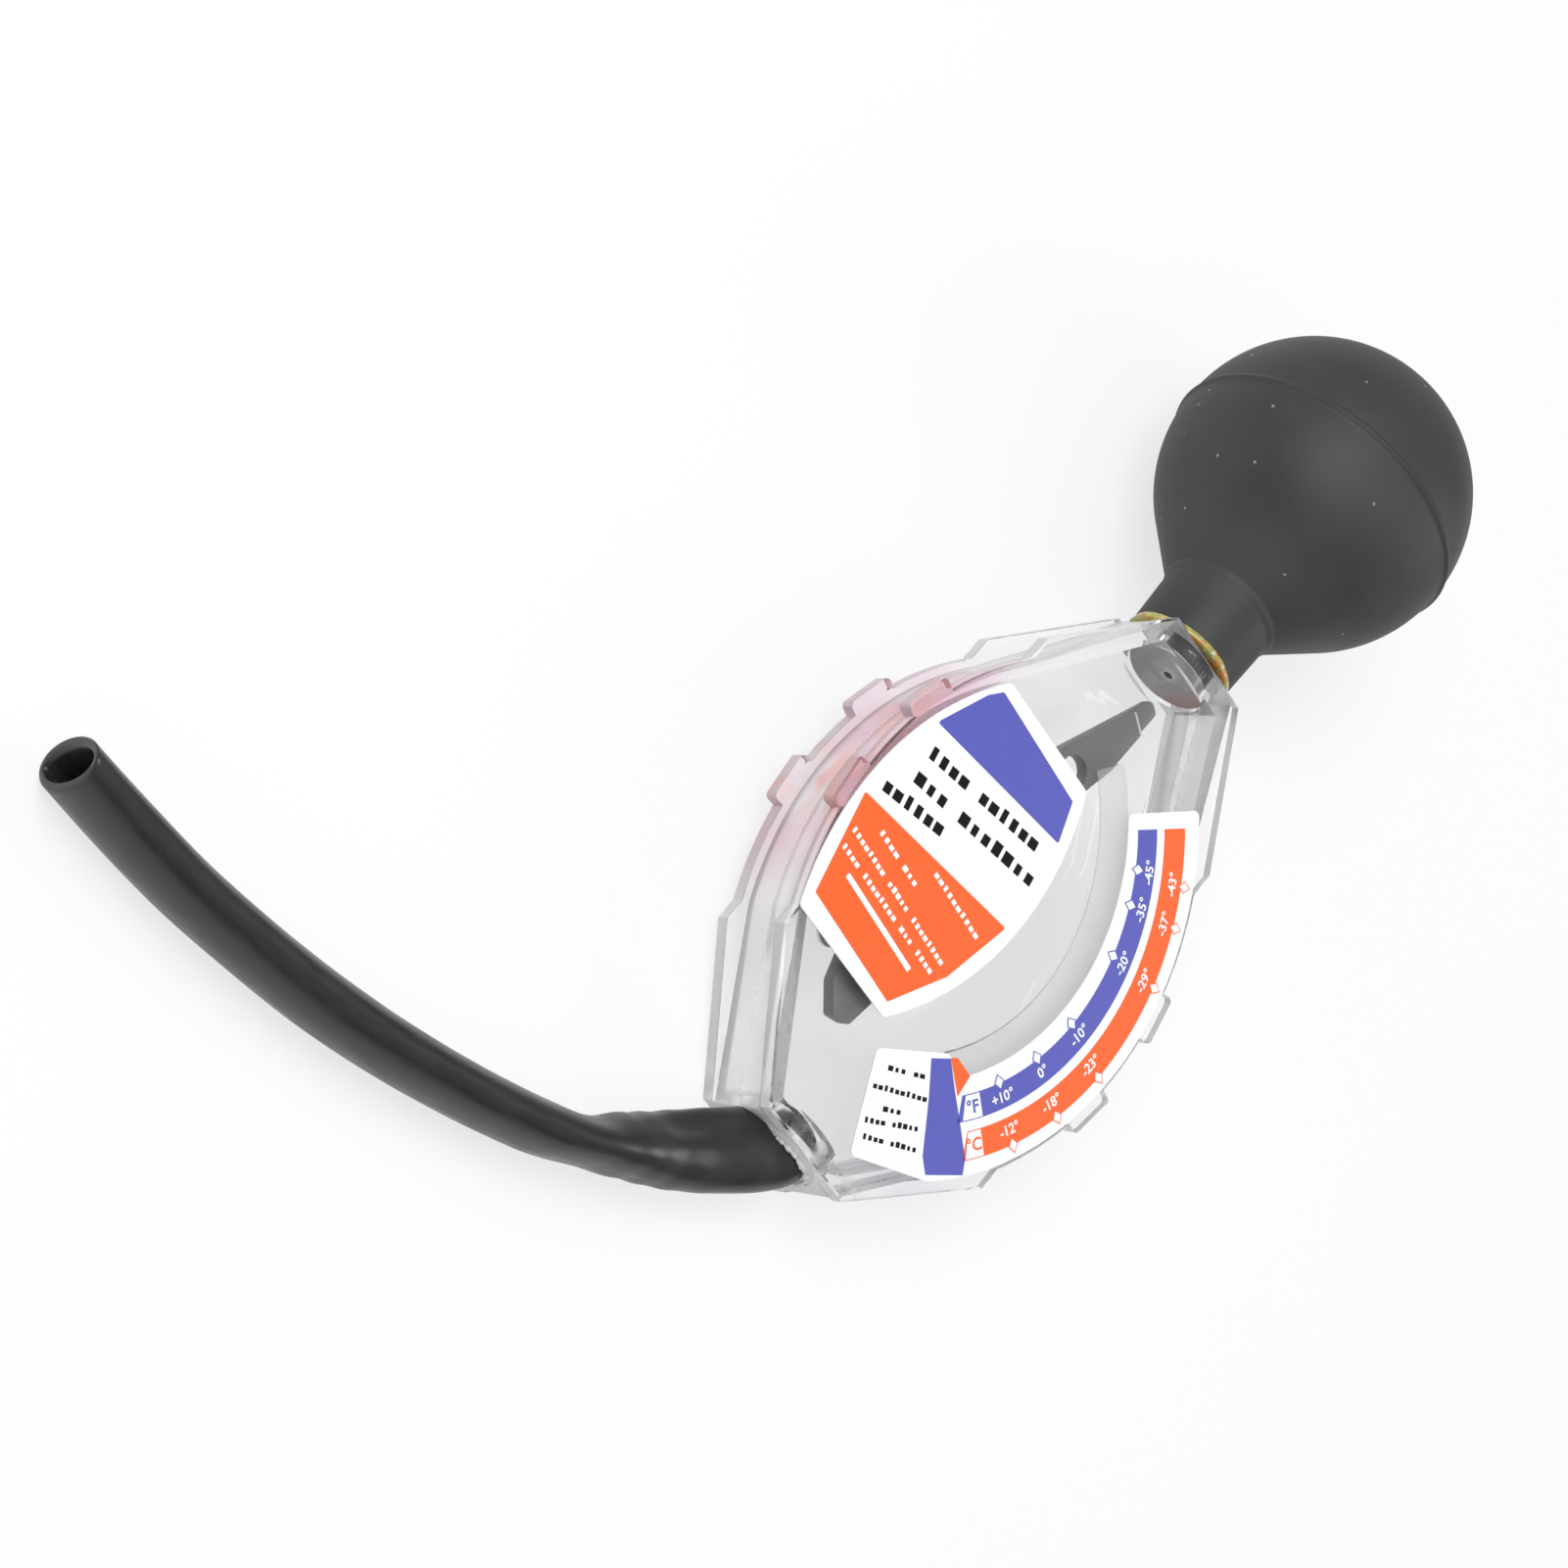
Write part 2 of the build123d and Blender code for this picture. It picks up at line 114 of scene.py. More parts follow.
# Distance from the inner end, half width and half height of the section, and its exponent:
# 2 is an ellipse, less is sharper at the sides and more is squarer
HOSE_SECTIONS = [
    (0.0, 5.2, 5.2, 2.0),
    (3.2, 6.35, 5.5, 2.2),
    (7.2, 6.2, 4.85, 2.15),
    (16.2, 6.0, 4.5, 2.0),
    (22.2, 5.6, 5.0, 2.0),
    (27.0, 4.9, 5.8, 2.0),
    (31.0, 4.1, 6.4, 2.0),
    (37.2, 3.35, 6.9, 1.95),
    (47.2, 3.75, 6.85, 1.9),
    (82.2, 3.95, 6.8, 1.88),
    (102.2, 3.75, 6.85, 1.9),
    (118.0, 3.55, 6.95, 1.95),
    (133.2, 3.25, 7.05, 2.0),
]
# Where the kink dents the hose, where its fold stands out beyond it, and the slant of its cut
# end; turns are in radians
KINK_AT = 20.2
KINK_REACH = 5.5
KINK_DEPTH = 1.3 * MM
KINK_TURN = 0.85
KINK_SPREAD = 0.36
FOLD_AT = 32.5
FOLD_REACH = 5.5
FOLD_HEIGHT = 1.0 * MM
FOLD_TURN = 0.1
FOLD_SPREAD = 0.6
CUT_RAMP = 9.0
CUT_SLANT = 0.5
CUT_RISE = 0.03


def plain_mesh(holder):
    """An object's shape as a plain mesh, with its curve, text or modifiers worked out."""
    bpy.context.view_layer.update()
    return bpy.data.meshes.new_from_object(holder.evaluated_get(bpy.context.evaluated_depsgraph_get()))


def smooth_line(route):
    """The points of a smooth spline that has the route's points as its control points."""
    curve = bpy.data.curves.new("route", "CURVE")
    curve.dimensions = "3D"
    curve.resolution_u = ROUTE_STEPS
    spline = curve.splines.new("NURBS")
    spline.points.add(len(route) - 1)
    for control, place in zip(spline.points, route):
        control.co = (*place, 1)
    spline.order_u = 3
    spline.use_endpoint_u = True
    holder = set_in_scene("route", curve)
    line = plain_mesh(holder)
    points = [vertex.co.copy() for vertex in line.vertices]
    bpy.data.objects.remove(holder)
    bpy.data.meshes.remove(line)
    return points


def evenly_along(points, step):
    """Points at equal distances along a line, its two ends among them."""
    distances = [0.0]
    for before, after in zip(points, points[1:]):
        distances.append(distances[-1] + (after - before).length)
    count = round(distances[-1] / step)
    even, at = [], 0
    for number in range(count + 1):
        wanted = distances[-1] * number / count
        while at < len(points) - 2 and distances[at + 1] < wanted:
            at += 1
        share = (wanted - distances[at]) / (distances[at + 1] - distances[at])
        even.append(points[at].lerp(points[at + 1], share))
    return even


def faced_out(piece):
    """Turns a piece's faces outwards and shades them smooth."""
    form = bmesh.new()
    form.from_mesh(piece.data)
    bmesh.ops.recalc_face_normals(form, faces=form.faces)
    form.to_mesh(piece.data)
    form.free()
    for polygon in piece.data.polygons:
        polygon.use_smooth = True


def make_piece(name, points, faces, finish):
    """A smooth-shaded piece from points of the frame, with its faces turned outwards."""
    mesh = bpy.data.meshes.new(name)
    mesh.from_pydata([tuple(point) for point in points], [], faces)
    mesh.materials.append(finish)
    piece = set_in_scene(name, mesh)
    faced_out(piece)
    return piece


def crease_at(piece, angle):
    """Shades a piece smooth but for its edges sharper than an angle in degrees."""
    form = bmesh.new()
    form.from_mesh(piece.data)
    for edge in form.edges:
        edge.smooth = len(edge.link_faces) == 2 and edge.calc_face_angle(pi) < radians(angle)
    form.to_mesh(piece.data)
    form.free()


def rides_on(piece, body, slot, *nodes):
    """Fixes a piece to a body and hides the nodes it stands for; the slot is not used."""
    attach(piece, body)
    if nodes:
        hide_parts(*nodes)


def new_finish(name, colour, roughness, settings):
    """A material with one shader, its plain settings on the shader's own sockets."""
    finish = bpy.data.materials.new(name)
    finish.use_nodes = True
    shader = finish.node_tree.nodes["Principled BSDF"]
    shader.inputs["Base Color"].default_value = (*colour, 1)
    shader.inputs["Roughness"].default_value = roughness
    for socket, value in settings.items():
        shader.inputs[socket].default_value = value
    return finish


def add_node(tree, kind, settings=None, inputs=None, links=None):
    """A node with its settings, its unlinked inputs and its incoming links given by name."""
    node = tree.nodes.new(kind)
    for key, value in (settings or {}).items():
        setattr(node, key, value)
    for key, value in (inputs or {}).items():
        node.inputs[key].default_value = value
    for key, source in (links or {}).items():
        tree.links.new(source, node.inputs[key])
    return node


def sum_of(tree, operation, first, second):
    """A math node's result from two sources, each a socket or a number."""
    node = add_node(tree, "ShaderNodeMath", {"operation": operation})
    for number, source in enumerate((first, second)):
        if isinstance(source, (int, float)):
            node.inputs[number].default_value = source
        else:
            tree.links.new(source, node.inputs[number])
    return node.outputs[0]


def eased(tree, source, low, high, to_low=0.0, to_high=1.0):
    """A source's value eased from one range to another."""
    ranges = {"From Min": low, "From Max": high, "To Min": to_low, "To Max": to_high}
    node = add_node(tree, "ShaderNodeMapRange", {"interpolation_type": "SMOOTHSTEP"}, ranges,
                    {"Value": source})
    return node.outputs["Result"]


def new_group(name, inputs, outputs):
    """A shader node group with named inputs and outputs, and its two end nodes."""
    group = bpy.data.node_groups.new(name, "ShaderNodeTree")
    for socket, kind, value in inputs:
        group.interface.new_socket(name=socket, in_out="INPUT", socket_type=kind).default_value = value
    for socket, kind in outputs:
        group.interface.new_socket(name=socket, in_out="OUTPUT", socket_type=kind)
    return group, group.nodes.new("NodeGroupInput").outputs, group.nodes.new("NodeGroupOutput").inputs


# Rubber's skin: slow mottling, a fine grain from the mould or die, and a few pale specks of dust
DUSTY_ABOVE = 0.58
MOTTLE_RANGE = (0.3, 0.7)
MOTTLE_TONES = (0.82, 1.2)
MOTTLE_GLOSS = (-0.06, 0.06)
SKIN_OUTPUTS = [("Colour", "NodeSocketColor"), ("Roughness", "NodeSocketFloat"),
                ("Height", "NodeSocketFloat")]
rubber_skin, given, made = new_group(
    "rubber_skin",
    [("Vector", "NodeSocketVector", (0, 0, 0)), ("Colour", "NodeSocketColor", (0.04, 0.04, 0.04, 1)),
     ("Dust Colour", "NodeSocketColor", (0.3, 0.3, 0.3, 1)), ("Mottle Scale", "NodeSocketFloat", 60.0),
     ("Grain Scale", "NodeSocketFloat", 2200.0), ("Dust Scale", "NodeSocketFloat", 260.0),
     ("Dust Size", "NodeSocketFloat", 0.06), ("Dust Spread", "NodeSocketFloat", 130.0),
     ("Roughness", "NodeSocketFloat", 0.55)],
    SKIN_OUTPUTS,
)
mottle = add_node(rubber_skin, "ShaderNodeTexNoise", inputs={"Detail": 4.0},
                  links={"Vector": given["Vector"], "Scale": given["Mottle Scale"]})
grain = add_node(rubber_skin, "ShaderNodeTexNoise", inputs={"Detail": 2.0},
                 links={"Vector": given["Vector"], "Scale": given["Grain Scale"]})
dust = add_node(rubber_skin, "ShaderNodeTexVoronoi", inputs={"Randomness": 1.0},
                links={"Vector": given["Vector"], "Scale": given["Dust Scale"]})
thinned = add_node(rubber_skin, "ShaderNodeTexNoise", inputs={"Detail": 1.0},
                   links={"Vector": given["Vector"], "Scale": given["Dust Spread"]})
toned = add_node(rubber_skin, "ShaderNodeVectorMath", {"operation": "SCALE"},
                 links={0: given["Colour"],
                        "Scale": eased(rubber_skin, mottle.outputs["Fac"], *MOTTLE_RANGE, *MOTTLE_TONES)})
near_speck = sum_of(rubber_skin, "LESS_THAN", dust.outputs["Distance"], given["Dust Size"])
dusty_place = sum_of(rubber_skin, "GREATER_THAN", thinned.outputs["Fac"], DUSTY_ABOVE)
dusted = add_node(rubber_skin, "ShaderNodeMix", {"data_type": "RGBA"},
                  links={"Factor": sum_of(rubber_skin, "MULTIPLY", near_speck, dusty_place)})
rubber_skin.links.new(toned.outputs["Vector"], dusted.inputs["A"])
rubber_skin.links.new(given["Dust Colour"], dusted.inputs["B"])
rubber_skin.links.new(dusted.outputs["Result"], made["Colour"])
uneven = eased(rubber_skin, mottle.outputs["Fac"], *MOTTLE_RANGE, *MOTTLE_GLOSS)
rubber_skin.links.new(sum_of(rubber_skin, "ADD", uneven, given["Roughness"]), made["Roughness"])
rubber_skin.links.new(grain.outputs["Fac"], made["Height"])


def put_skin(finish, group, values, source, bump_distance, colour_source=None, rough_source=None):
    """Puts a skin group in a material and feeds its shader; source gives its coordinates."""
    tree = finish.node_tree
    shader = tree.nodes["Principled BSDF"]
    skin = tree.nodes.new("ShaderNodeGroup")
    skin.node_tree = group
    for socket, value in values.items():
        skin.inputs[socket].default_value = value
    tree.links.new(source, skin.inputs["Vector"])
    for socket, given_source in (("Colour", colour_source), ("Roughness", rough_source)):
        if given_source:
            tree.links.new(given_source, skin.inputs[socket])
    tree.links.new(skin.outputs["Colour"], shader.inputs["Base Color"])
    tree.links.new(skin.outputs["Roughness"], shader.inputs["Roughness"])
    bump = add_node(tree, "ShaderNodeBump", inputs={"Distance": bump_distance, "Strength": 0.5},
                    links={"Height": skin.outputs["Height"]})
    tree.links.new(bump.outputs["Normal"], shader.inputs["Normal"])


def object_place(finish):
    """A material's object coordinates."""
    return finish.node_tree.nodes.new("ShaderNodeTexCoord").outputs["Object"]


hose_rubber = new_finish("hose_rubber", HOSE_BLACK, 0.36, {"Specular IOR Level": 0.5})
drawn = add_node(hose_rubber.node_tree, "ShaderNodeAttribute", {"attribute_name": "drawn"})
put_skin(hose_rubber, rubber_skin,
         {"Colour": (*HOSE_BLACK, 1), "Dust Colour": HOSE_DUST, "Mottle Scale": 3.0, "Grain Scale": 22.0,
          "Dust Scale": 14.0, "Dust Size": 0.05, "Dust Spread": 6.0, "Roughness": 0.35},
         drawn.outputs["Vector"], 0.03 * MM)


def between(table, at):
    """Values of a table at a distance, eased from row to row."""
    for low, high in zip(table, table[1:]):
        if at <= high[0]:
            share = max(0.0, (at - low[0]) / (high[0] - low[0]))
            share = share * share * (3 - 2 * share)
            return [a + (b - a) * share for a, b in zip(low[1:], high[1:])]
    return list(table[-1][1:])


def power(value, exponent):
    """A signed power, which squares off or sharpens a round section."""
    return abs(value) ** exponent if value >= 0 else -(abs(value) ** exponent)


def bell(value, middle, width):
    """A bell curve, 1 at its middle."""
    return exp(-(((value - middle) / width) ** 2))


hose_line = evenly_along(smooth_line(HOSE_ROUTE), HOSE_RING_STEP)
hose_span = len(hose_line) - 1
hose_points, hose_drawn = [], []


def hose_ring(number, inset, back=0.0):
    """One ring of the hose's surface, drawn in by an inset and back from its place."""
    heading = (hose_line[min(hose_span, number + 1)] - hose_line[max(0, number - 1)]).normalized()
    beside = heading.cross(Vector((0, 0, 1))).normalized()
    above = beside.cross(heading).normalized()
    distance = number * HOSE_RING_STEP / MM
    half_width, half_height, exponent = between(HOSE_SECTIONS, distance)
    ramp = max(0.0, 1 - (hose_span - number) * HOSE_RING_STEP / MM / CUT_RAMP)
    for side in range(HOSE_SIDES):
        turn = 2 * pi * side / HOSE_SIDES
        out = power(cos(turn), 2 / exponent) * (half_width * MM - inset)
        high = power(sin(turn), 2 / exponent) * (half_height * MM - inset)
        dent = KINK_DEPTH * bell(distance, KINK_AT, KINK_REACH) * bell(turn, KINK_TURN, KINK_SPREAD)
        half_turn = turn if turn < pi else turn - 2 * pi
        dent -= FOLD_HEIGHT * bell(distance, FOLD_AT, FOLD_REACH) * bell(half_turn, FOLD_TURN, FOLD_SPREAD)
        slant = ramp * (CUT_SLANT * out + CUT_RISE * high) - back
        point = hose_line[number] + beside * out + above * high + heading * slant
        point -= (beside * cos(turn) + above * sin(turn)) * dent
        hose_points.append(Vector((point.x, point.y, max(point.z, inset))))
        hose_drawn.extend((cos(turn), sin(turn), distance * DRAWN_SCALE))


for number in range(hose_span):
    hose_ring(number, 0)
hose_ring(hose_span, 0, HOSE_EDGE)
hose_ring(hose_span, HOSE_EDGE)
hose_ring(hose_span, HOSE_WALL - HOSE_EDGE)
hose_ring(hose_span, HOSE_WALL, HOSE_EDGE)
for number in range(hose_span - 1, -1, -1):
    hose_ring(number, HOSE_WALL)
ring_count = len(hose_points) // HOSE_SIDES
hose_faces = []
for ring in range(ring_count):
    following = (ring + 1) % ring_count
    for side in range(HOSE_SIDES):
        beyond = (side + 1) % HOSE_SIDES
        hose_faces.append((ring * HOSE_SIDES + side, ring * HOSE_SIDES + beyond,
                           following * HOSE_SIDES + beyond, following * HOSE_SIDES + side))
hose = make_piece("hose_tube", hose_points, hose_faces, hose_rubber)
crease_at(hose, HOSE_CREASE)
hose.data.attributes.new("drawn", "FLOAT_VECTOR", "POINT").data.foreach_set("vector", hose_drawn)
rides_on(hose, "housing", "hose_rubber", "hose")

# The squeeze bulb is one hollow black rubber moulding. Two mould halves meet in a low ridge
# round its widest part, and its neck ends in a spigot cemented into the housing's top.
BULB_CENTRE = 95.3
BULB_RADIUS = 25.0
BULB_WALL = 2.3
RIDGE_ALONG = 94.2
RIDGE_HEIGHT = 0.45
RIDGE_WIDTH = 0.95
RIDGE_SPREAD = 3
NECK_FOOT = (9.2, 56.5)
NECK_HEAD = (9.55, 67.3)
NECK_RIM = (10.0, 68.7)
SPIGOT = (7.0, 53.0)
SPIGOT_EDGE = 0.3
NECK_BORE = 3.9
# Each corner of the neck, and the points outwards and along from it that round it off
NECK_EDGES = (
    (NECK_FOOT, ((-0.4, 0.0), (-0.1, 0.15), (0.0, 0.45))),
    (NECK_HEAD, ((-0.02, -0.5), (0.06, -0.1))),
    ((NECK_RIM[0], NECK_HEAD[1]), ((-0.12, 0.28), (0.0, 0.6))),
    (NECK_RIM, ((0.0, -0.2), (0.22, 0.08))),
)
ROUND_STEPS = 144
BULB_STEPS = 72
RIDGE_STEPS = 12
CAVITY_STEPS = 24
BULB_CREASE = 55
BULB_BLACK = (0.043, 0.043, 0.045)
BULB_DUST = (0.25, 0.25, 0.25, 1)


def new_tree(name, inputs):
    """A geometry tree with named inputs: the tree, its input sockets and its output node."""
    tree = bpy.data.node_groups.new(name, "GeometryNodeTree")
    tree.interface.new_socket(name="Geometry", in_out="INPUT", socket_type="NodeSocketGeometry")
    for socket, kind in inputs:
        tree.interface.new_socket(name=socket, in_out="INPUT", socket_type=kind)
    tree.interface.new_socket(name="Geometry", in_out="OUTPUT", socket_type="NodeSocketGeometry")
    return tree, tree.nodes.new("NodeGroupInput").outputs, tree.nodes.new("NodeGroupOutput")


def grown(name, tree, points, edges, values, attributes=None):
    """A piece whose plain mesh a geometry tree makes from a few points and edges."""
    start = bpy.data.meshes.new(name + "_start")
    start.from_pydata([tuple(point) for point in points], edges, [])
    for attribute, (kind, numbers) in (attributes or {}).items():
        field = "vector" if kind == "FLOAT_VECTOR" else "value"
        start.attributes.new(attribute, kind, "POINT").data.foreach_set(field, numbers)
    piece = set_in_scene(name, start)
    growth = piece.modifiers.new("growth", "NODES")
    growth.node_group = tree
    for item in tree.interface.items_tree:
        if item.in_out == "INPUT" and item.name in values:
            growth[item.identifier] = values[item.name]
    mesh = plain_mesh(piece)
    mesh.name = name
    piece.modifiers.clear()
    piece.data = mesh
    bpy.data.meshes.remove(start)
    faced_out(piece)
    return piece


# Far off to the sides, so that only the floor's height counts
LOWEST_PLACE = (-9, -9, 0)


def on_place(tree, source, given):
    """Ends a tree: turns its geometry to the housing's tilt, keeps it off the floor and finishes it."""
    position = tree.nodes.new("GeometryNodeInputPosition").outputs[0]
    turned_up = add_node(tree, "ShaderNodeVectorRotate", {"rotation_type": "X_AXIS"},
                         links={"Vector": position, "Angle": given["Tilt"]})
    moved = add_node(tree, "ShaderNodeVectorMath", {"operation": "ADD"},
                     links={0: turned_up.outputs[0], 1: given["Middle"]})
    lifted = add_node(tree, "ShaderNodeVectorMath", {"operation": "MAXIMUM"}, {1: LOWEST_PLACE},
                      {0: moved.outputs[0]})
    placed = add_node(tree, "GeometryNodeSetPosition",
                      links={"Geometry": source, "Position": lifted.outputs[0]})
    real = add_node(tree, "GeometryNodeRealizeInstances", links={"Geometry": placed.outputs[0]})
    finished = add_node(tree, "GeometryNodeSetMaterial",
                        links={"Geometry": real.outputs[0], "Material": given["Finish"]})
    return finished.outputs[0]


# A body turned round the housing's long axis from an outline of radius and distance along it.
# Outside a radius, noise may make it uneven, and over the easing distance that grows to full.
UNEVEN_EASING = 0.6 * MM
MERGE_DISTANCE = 0.001 * MM
turned_body, given, ending = new_tree(
    "turned_body",
    [("Ring Steps", "NodeSocketInt"), ("Unevenness", "NodeSocketFloat"), ("Even Radius", "NodeSocketFloat"),
     ("Lump Scale", "NodeSocketFloat"), ("Seed", "NodeSocketFloat"), ("Tilt", "NodeSocketFloat"),
     ("Middle", "NodeSocketVector"), ("Finish", "NodeSocketMaterial")],
)
outline_size = add_node(turned_body, "GeometryNodeAttributeDomainSize",
                        links={"Geometry": given["Geometry"]})
steps_round = sum_of(turned_body, "ADD", given["Ring Steps"], 1)
sheet = add_node(turned_body, "GeometryNodeMeshGrid", inputs={"Size X": 1.0, "Size Y": 1.0},
                 links={"Vertices X": steps_round, "Vertices Y": outline_size.outputs["Point Count"]})
on_sheet = add_node(turned_body, "ShaderNodeSeparateXYZ",
                    links={0: turned_body.nodes.new("GeometryNodeInputPosition").outputs[0]})
turn = sum_of(turned_body, "MULTIPLY", sum_of(turned_body, "ADD", on_sheet.outputs["X"], 0.5), 2 * pi)
last_point = sum_of(turned_body, "SUBTRACT", outline_size.outputs["Point Count"], 1)
at_point = sum_of(turned_body, "MULTIPLY", sum_of(turned_body, "ADD", on_sheet.outputs["Y"], 0.5), last_point)
profile = add_node(turned_body, "GeometryNodeSampleIndex", {"data_type": "FLOAT_VECTOR", "domain": "POINT"},
                   links={"Geometry": given["Geometry"], "Index": sum_of(turned_body, "ROUND", at_point, 0)})
turned_body.links.new(turned_body.nodes.new("GeometryNodeInputPosition").outputs[0], profile.inputs["Value"])
radius_along = add_node(turned_body, "ShaderNodeSeparateXYZ", links={0: profile.outputs["Value"]})
cosine = sum_of(turned_body, "COSINE", turn, 0)
sine = sum_of(turned_body, "SINE", turn, 0)
round_place = add_node(turned_body, "ShaderNodeCombineXYZ", links={"X": cosine, "Y": sine})
lumps = add_node(turned_body, "ShaderNodeTexNoise", {"noise_dimensions": "4D"}, {"Detail": 2.5},
                 {"Vector": round_place.outputs[0], "W": given["Seed"], "Scale": given["Lump Scale"]})
past_even = sum_of(turned_body, "SUBTRACT", radius_along.outputs["X"], given["Even Radius"])
share = add_node(turned_body, "ShaderNodeMapRange", inputs={"From Min": 0.0, "From Max": UNEVEN_EASING},
                 links={"Value": past_even})
lump = sum_of(turned_body, "SUBTRACT", lumps.outputs["Fac"], 0.5)
lump = sum_of(turned_body, "MULTIPLY", lump, given["Unevenness"])
lump = sum_of(turned_body, "MULTIPLY", lump, share.outputs["Result"])
reach = sum_of(turned_body, "ADD", radius_along.outputs["X"], lump)
along = sum_of(turned_body, "ADD", radius_along.outputs["Y"], sum_of(turned_body, "MULTIPLY", lump, 0.5))
surface = add_node(turned_body, "ShaderNodeCombineXYZ",
                   links={"X": sum_of(turned_body, "MULTIPLY", reach, cosine), "Y": along,
                          "Z": sum_of(turned_body, "MULTIPLY", reach, sine)})
wrapped = add_node(turned_body, "GeometryNodeSetPosition",
                   links={"Geometry": sheet.outputs["Mesh"], "Position": surface.outputs[0]})
closed = add_node(turned_body, "GeometryNodeMergeByDistance", inputs={"Distance": MERGE_DISTANCE},
                  links={"Geometry": wrapped.outputs[0]})
faces_beside = turned_body.nodes.new("GeometryNodeInputMeshEdgeNeighbors").outputs[0]
bare = add_node(turned_body, "FunctionNodeCompare", {"data_type": "INT", "operation": "EQUAL"},
                links={"A": faces_beside})
trimmed = add_node(turned_body, "GeometryNodeDeleteGeometry", {"domain": "EDGE"},
                   links={"Geometry": closed.outputs[0], "Selection": bare.outputs[0]})
turned_body.links.new(on_place(turned_body, trimmed.outputs[0], given), ending.inputs[0])


def turned(name, outline, finish, unevenness=0.0, even_radius=0.0, lump_scale=2.0, seed=1.0):
    """A closed body turned round the housing's long axis; its outline is in millimetres."""
    closed_outline = [(radius * MM, along * MM, 0) for radius, along in (*outline, outline[0])]
    edges = [(number, number + 1) for number in range(len(outline))]
    return grown(name, turned_body, closed_outline, edges, {
        "Ring Steps": ROUND_STEPS, "Unevenness": unevenness * MM, "Even Radius": even_radius * MM,
        "Lump Scale": lump_scale, "Seed": seed, "Tilt": TILT, "Middle": HOUSING_MIDDLE, "Finish": finish})


neck_reach = hypot(NECK_RIM[0], BULB_CENTRE - NECK_RIM[1])
touch = atan2(NECK_RIM[0], BULB_CENTRE - NECK_RIM[1]) + acos(BULB_RADIUS / neck_reach)
ridge_turn = acos((BULB_CENTRE - RIDGE_ALONG) / BULB_RADIUS)
bulb_turns = [touch + (pi - touch) * step / BULB_STEPS for step in range(BULB_STEPS)]
bulb_turns += [ridge_turn + step * RIDGE_SPREAD / RIDGE_STEPS * RIDGE_WIDTH / BULB_RADIUS
               for step in range(-RIDGE_STEPS, RIDGE_STEPS + 1)]
bulb_outline = [
    (NECK_BORE, SPIGOT[1] + SPIGOT_EDGE), (NECK_BORE + SPIGOT_EDGE, SPIGOT[1]),
    (SPIGOT[0] - SPIGOT_EDGE, SPIGOT[1]), (SPIGOT[0], SPIGOT[1] + SPIGOT_EDGE),
    (SPIGOT[0], NECK_FOOT[1])]
for corner, edge_points in NECK_EDGES:
    bulb_outline += [(corner[0] + out, corner[1] + onward) for out, onward in edge_points]
for angle in sorted(bulb_turns):
    radius = BULB_RADIUS + RIDGE_HEIGHT * bell((angle - ridge_turn) * BULB_RADIUS, 0.0, RIDGE_WIDTH / 2)
    bulb_outline.append((radius * sin(angle), BULB_CENTRE - radius * cos(angle)))
bulb_outline.append((0, BULB_CENTRE + BULB_RADIUS))
cavity = BULB_RADIUS - BULB_WALL
mouth = atan2(NECK_BORE, sqrt(cavity**2 - NECK_BORE**2))
for step in range(CAVITY_STEPS + 1):
    angle = pi - (pi - mouth) * step / CAVITY_STEPS
    bulb_outline.append((cavity * sin(angle) if step else 0, BULB_CENTRE - cavity * cos(angle)))
bulb_rubber = new_finish("bulb_rubber", BULB_BLACK, 0.6, {"Specular IOR Level": 0.4})
put_skin(bulb_rubber, rubber_skin,
         {"Colour": (*BULB_BLACK, 1), "Dust Colour": BULB_DUST, "Mottle Scale": 45.0, "Grain Scale": 2600.0,
          "Dust Scale": 330.0, "Dust Size": 0.09, "Dust Spread": 130.0, "Roughness": 0.58},
         object_place(bulb_rubber), 0.05 * MM)
bulb = turned("squeeze_bulb_skin", bulb_outline, bulb_rubber)
crease_at(bulb, BULB_CREASE)
rides_on(bulb, "housing", "bulb_rubber", "squeeze_bulb")

# The housing is two clear styrene mouldings, cemented face to face round a flat chamber.
# Their plates stand out past the chamber's wall, with stepped shoulders and ears to grip.
# Painted reflections of the labels tint it pale pink and salmon at its upper left and pale lilac below.
SEAM_GAP = 0.03
LABEL_GAP = 0.02
HALF_DEPTH = 8.2
PLATE_LEVEL = 5.6
SHELL_CREASE = 25
PLAIN_TINT = (0.965, 0.965, 0.97, 1)
# Painted reflections of the labels in pink, salmon and lilac: pale where one looks through the plastic,
# deeper on its satin edges
CLEAR_LABEL_REFLECTIONS = ((0.93, 0.79, 0.87, 1), (0.99, 0.72, 0.70, 1), (0.86, 0.80, 0.93, 1))
SATIN_LABEL_REFLECTIONS = ((0.86, 0.66, 0.74, 1), (0.97, 0.55, 0.52, 1), (0.8, 0.72, 0.9, 1))
LILAC_REFLECTION_SHARE = 0.6
# Places in the housing's own axes, in metres, from where a tint or frost starts to where it is full
LEFT_SIDE = (-0.022, -0.027)
OUTER_LEFT = (-0.029, -0.0325)
RIGHT_SIDE = (0.012, 0.020)
ABOVE_FOOT = (-0.030, -0.010)
BELOW_NECK = (0.034, 0.022)
LOWER_END = (-0.030, -0.040)
NEAR_HOSE = (-0.0425, -0.0462)
FROST_ROUGHNESS = 0.4

